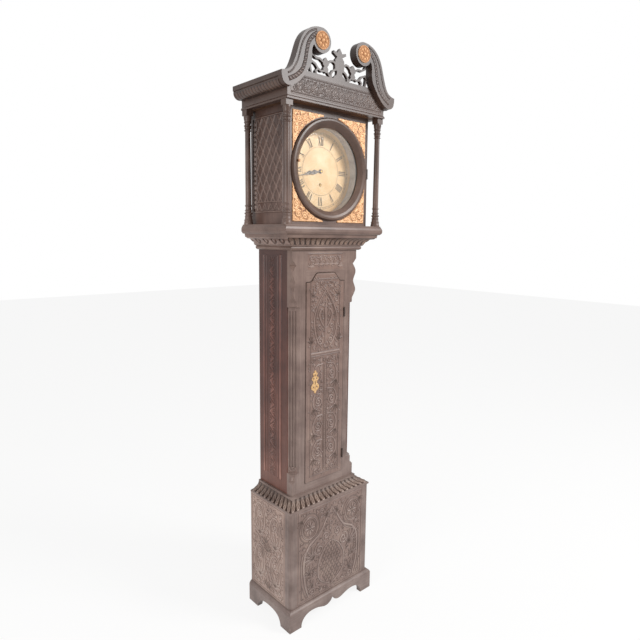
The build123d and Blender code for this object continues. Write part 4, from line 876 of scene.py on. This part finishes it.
def pressed_corner(name, sign_x, sign_z):
    """Pressed foliage on one corner piece, inside its own outline."""
    across = np.linspace(36, 173.4, 112)
    up = np.linspace(36, 183.4, 119)
    field = np.zeros((len(up), len(across)))
    board = (across, up, field)
    for x, y, start, hand in ((148, 158, 220, 1), (120, 164, 0, -1), (158, 122, 90, 1), (92, 172, 180, 1),
                              (164, 92, 270, -1), (64, 176, 0, 1)):
        gouge(board, scroll(x, y, 13, 1.6, start, hand, 2.6, 20), 0.9)
    for x, y, angle in ((160, 170, 45), (136, 138, 230), (158, 142, 250), (112, 150, 200), (84, 166, 190),
                        (162, 108, 250), (60, 178, 190), (167, 72, 260), (140, 176, 170), (168, 150, 280),
                        (104, 178, 180), (48, 180, 190), (168, 54, 270)):
        spray(board, x, y, angle, 20, 5, 150, high=0.85)
    gouge(board, [(38, 181, 1.5), (171, 181, 1.5), (171, 38, 1.5)], 0.7)
    field[rng.random(field.shape) < 0.04] *= 0.5
    opening = 183.0
    middle_x, middle_y = (across[:-1] + across[1:]) / 2, (up[:-1] + up[1:]) / 2
    keep = np.hypot(middle_x[None, :], middle_y[:, None]) > opening
    points = np.stack(np.broadcast_arrays(sign_x * across[None, :], at(222.0) - 0.1 - 2.6 * field,
                                          DIAL_HEIGHT + sign_z * up[:, None]), -1)
    faces = grid_faces(len(across), len(up), keep)
    if sign_x * sign_z < 0:
        faces = faces[:, ::-1]
    return new_piece(name, points, faces, gilt, "hood", relief=field)


for level_name, sign_z in (("top", 1), ("low", -1)):
    for side_name, sign_x in SIDES:
        pressed_corner("corner_foliage_" + level_name + "_" + side_name, sign_x, sign_z)


class Inlay:
    """Flat painted shapes gathered into one mesh, drawn on the dial as (x, z) round its centre."""

    def __init__(self, depth):
        self.y = at(depth)
        self.points = []
        self.faces = []

    def quad(self, corners):
        """One four-cornered shape, turned to face forwards."""
        start = len(self.points)
        self.points += [(x, self.y, DIAL_HEIGHT + z) for x, z in corners]
        (x0, z0), (x1, z1), (x2, z2) = corners[:3]
        order = (0, 1, 2, 3) if (x1 - x0) * (z2 - z0) - (z1 - z0) * (x2 - x0) > 0 else (3, 2, 1, 0)
        self.faces.append(tuple(start + n for n in order))

    def ring(self, inner, outer):
        """A thin circle."""
        for step in range(180):
            a, b = math.radians(2 * step), math.radians(2 * step + 2)
            self.quad([(reach * math.sin(t), reach * math.cos(t))
                       for reach, t in ((inner, a), (outer, a), (outer, b), (inner, b))])

    def stroke(self, turn, low, high, shift_low, shift_high, wide):
        """A stroke of a numeral that stands on the ring at a turn, clockwise from the top."""
        for_x, for_z = math.sin(turn), math.cos(turn)
        side_x, side_z = math.cos(turn), -math.sin(turn)
        self.quad([(reach * for_x + shift * side_x, reach * for_z + shift * side_z)
                   for reach, shift in ((low, shift_low - wide / 2), (low, shift_low + wide / 2),
                                        (high, shift_high + wide / 2), (high, shift_high - wide / 2))])


def numeral(inlay, hour, low, high):
    """A Roman numeral with thick and thin strokes and fine serifs."""
    text = ["", "I", "II", "III", "IIII", "V", "VI", "VII", "VIII", "IX", "X", "XI", "XII"][hour]
    widths = {"I": 6.2, "V": 14.0, "X": 14.0}
    # Each letter's strokes, as shifts at the foot and at the head and a width
    strokes = {"I": [(0, 0, 3.0)], "V": [(0, -4.6, 3.0), (0, 4.6, 1.1)], "X": [(4.6, -4.6, 3.0), (-4.6, 4.6, 1.1)]}
    turn = math.radians(30 * hour)
    place = -sum(widths[letter] for letter in text) / 2
    for letter in text:
        middle = place + widths[letter] / 2
        for foot, top, wide in strokes[letter]:
            inlay.stroke(turn, low, high, middle + foot, middle + top, wide)
        for end in (low, high):
            if letter != "V" or end == high:
                inlay.stroke(turn, end - 0.5, end + 0.5, middle, middle, widths[letter] - 1.2)
        place += widths[letter]


painted = Inlay(168.25)
for hour in range(1, 13):
    numeral(painted, hour, 92, 122)
for inner, outer in ((85.5, 86.4), (129.0, 129.8), (135.0, 135.8)):
    painted.ring(inner, outer)
for minute in range(60):
    painted.stroke(math.radians(6 * minute), 129.5, 135.3, 0, 0, 2.4 if minute % 5 == 0 else 0.9)
new_piece("dial_numerals", painted.points, painted.faces, numeral_paint, "case", smooth=False)


# The gut line: down from the seatboard, round the pulley and up to the barrel

def gut_tube():
    """The line as one tube."""
    drum_reach, radius, sides = 24.1, 0.8, 10
    pulley, drum, seat = 970.0, 1664.0, 1602.0
    path = [(-drum_reach, z) for z in np.linspace(drum, pulley, 60)]
    path += [(-drum_reach * math.cos(t), pulley - drum_reach * math.sin(t)) for t in np.linspace(0, math.pi, 24)[1:-1]]
    path += [(drum_reach, z) for z in np.linspace(pulley, seat, 56)]
    path = np.array(path)
    ahead = np.gradient(path, axis=0)
    ahead /= np.linalg.norm(ahead, axis=1)[:, None]
    turn = np.linspace(0, 2 * math.pi, sides, endpoint=False)
    points = np.stack(np.broadcast_arrays(path[:, :1] - radius * ahead[:, 1:] * np.cos(turn),
                                          at(115.0) + radius * np.sin(turn),
                                          path[:, 1:] + radius * ahead[:, :1] * np.cos(turn)), -1)
    last = (len(path) - 1) * sides
    caps = [list(range(sides)), list(range(last + sides - 1, last - 1, -1))]
    faces = ring_faces(len(path), sides).tolist() + caps
    line = new_piece("gut_line_tube", points, faces, twisted_gut, None)
    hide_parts("gut_line")
    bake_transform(line)


gut_tube()


# Floor, light and camera

def studio():
    """A pale floor that runs into a white ground, with soft light from the right and front."""
    reach = 12.0
    floor_mesh = bpy.data.meshes.new("studio_floor")
    floor_mesh.from_pydata([(-reach, -reach, 0), (reach, -reach, 0), (reach, reach, 0), (-reach, reach, 0)], [],
                           [(0, 1, 2, 3)])
    floor = bpy.data.objects.new("studio_floor", floor_mesh)
    bpy.context.scene.collection.objects.link(floor)
    pale, tree, shader = new_finish("pale_floor", Base_Color=linear("#f6f5f3"), Roughness=0.9)
    path = add_node(tree, "ShaderNodeLightPath", {}).outputs
    seen = add_node(tree, "ShaderNodeMath", {0: path["Is Camera Ray"], 1: path["Is Glossy Ray"]},
                    operation="MAXIMUM")
    share = add_node(tree, "ShaderNodeMath", {0: seen, 1: 0.88}, operation="MULTIPLY")
    white = add_node(tree, "ShaderNodeEmission", {"Strength": 1.0})
    whitened = add_node(tree, "ShaderNodeMixShader", {0: share, 1: shader, 2: white})
    feed(tree, tree.nodes["Material Output"], {"Surface": whitened})
    floor_mesh.materials.append(pale)
    world = bpy.data.worlds.new("studio_light")
    bpy.context.scene.world = world
    world.use_nodes = True
    tree = world.node_tree
    tree.nodes.clear()
    soft = add_node(tree, "ShaderNodeBackground", {"Color": linear("#ffffff"), "Strength": 0.38})
    seen = add_node(tree, "ShaderNodeBackground", {"Color": linear("#ffffff"), "Strength": 1.0})
    path = add_node(tree, "ShaderNodeLightPath", {}).outputs
    direct = add_node(tree, "ShaderNodeMath", {0: path["Is Camera Ray"], 1: path["Is Glossy Ray"]},
                      operation="MAXIMUM")
    any_view = add_node(tree, "ShaderNodeMath", {0: direct, 1: path["Is Transmission Ray"]},
                        operation="MAXIMUM")
    mixed = add_node(tree, "ShaderNodeMixShader", {0: any_view, 1: soft, 2: seen})
    add_node(tree, "ShaderNodeOutputWorld", {"Surface": mixed})
    for name, place, aim, size, power in (
        ("key_softbox", (1.9, -3.0, 3.0), (0, 0, 0.88), 1.2, 133),
        ("fill_softbox", (-3.4, -0.6, 1.6), (0, 0, 0.8), 1.6, 58),
    ):
        lamp = bpy.data.lights.new(name, "AREA")
        lamp.size = size
        lamp.energy = power
        holder = bpy.data.objects.new(name, lamp)
        bpy.context.scene.collection.objects.link(holder)
        holder.location = place
        holder.rotation_euler = (Vector(aim) - Vector(place)).to_track_quat("-Z", "Y").to_euler()


def camera_as_photographed():
    """The camera of the photograph, worked out from the clock's own corners."""
    lens = bpy.data.cameras.new("photo_camera")
    lens.sensor_width = SENSOR_MM
    lens.lens = PHOTO_FOCAL_PX / PHOTO_WIDTH_PX * SENSOR_MM
    lens.clip_end = 50
    holder = bpy.data.objects.new("photo_camera", lens)
    bpy.context.scene.collection.objects.link(holder)
    forward = Vector((math.sin(CAMERA_YAW) * math.cos(CAMERA_PITCH),
                      math.cos(CAMERA_YAW) * math.cos(CAMERA_PITCH), -math.sin(CAMERA_PITCH)))
    right = Vector((math.cos(CAMERA_YAW), -math.sin(CAMERA_YAW), 0))
    over = right.cross(forward)
    level = right * math.cos(CAMERA_ROLL) + over * math.sin(CAMERA_ROLL)
    upright = over * math.cos(CAMERA_ROLL) - right * math.sin(CAMERA_ROLL)
    turn = Matrix((level, upright, -forward)).transposed().to_4x4()
    holder.matrix_world = Matrix.Translation(Vector(CAMERA_AT) * MM) @ turn
    bpy.context.scene.camera = holder


studio()
camera_as_photographed()
bpy.context.scene.view_settings.view_transform = "Standard"
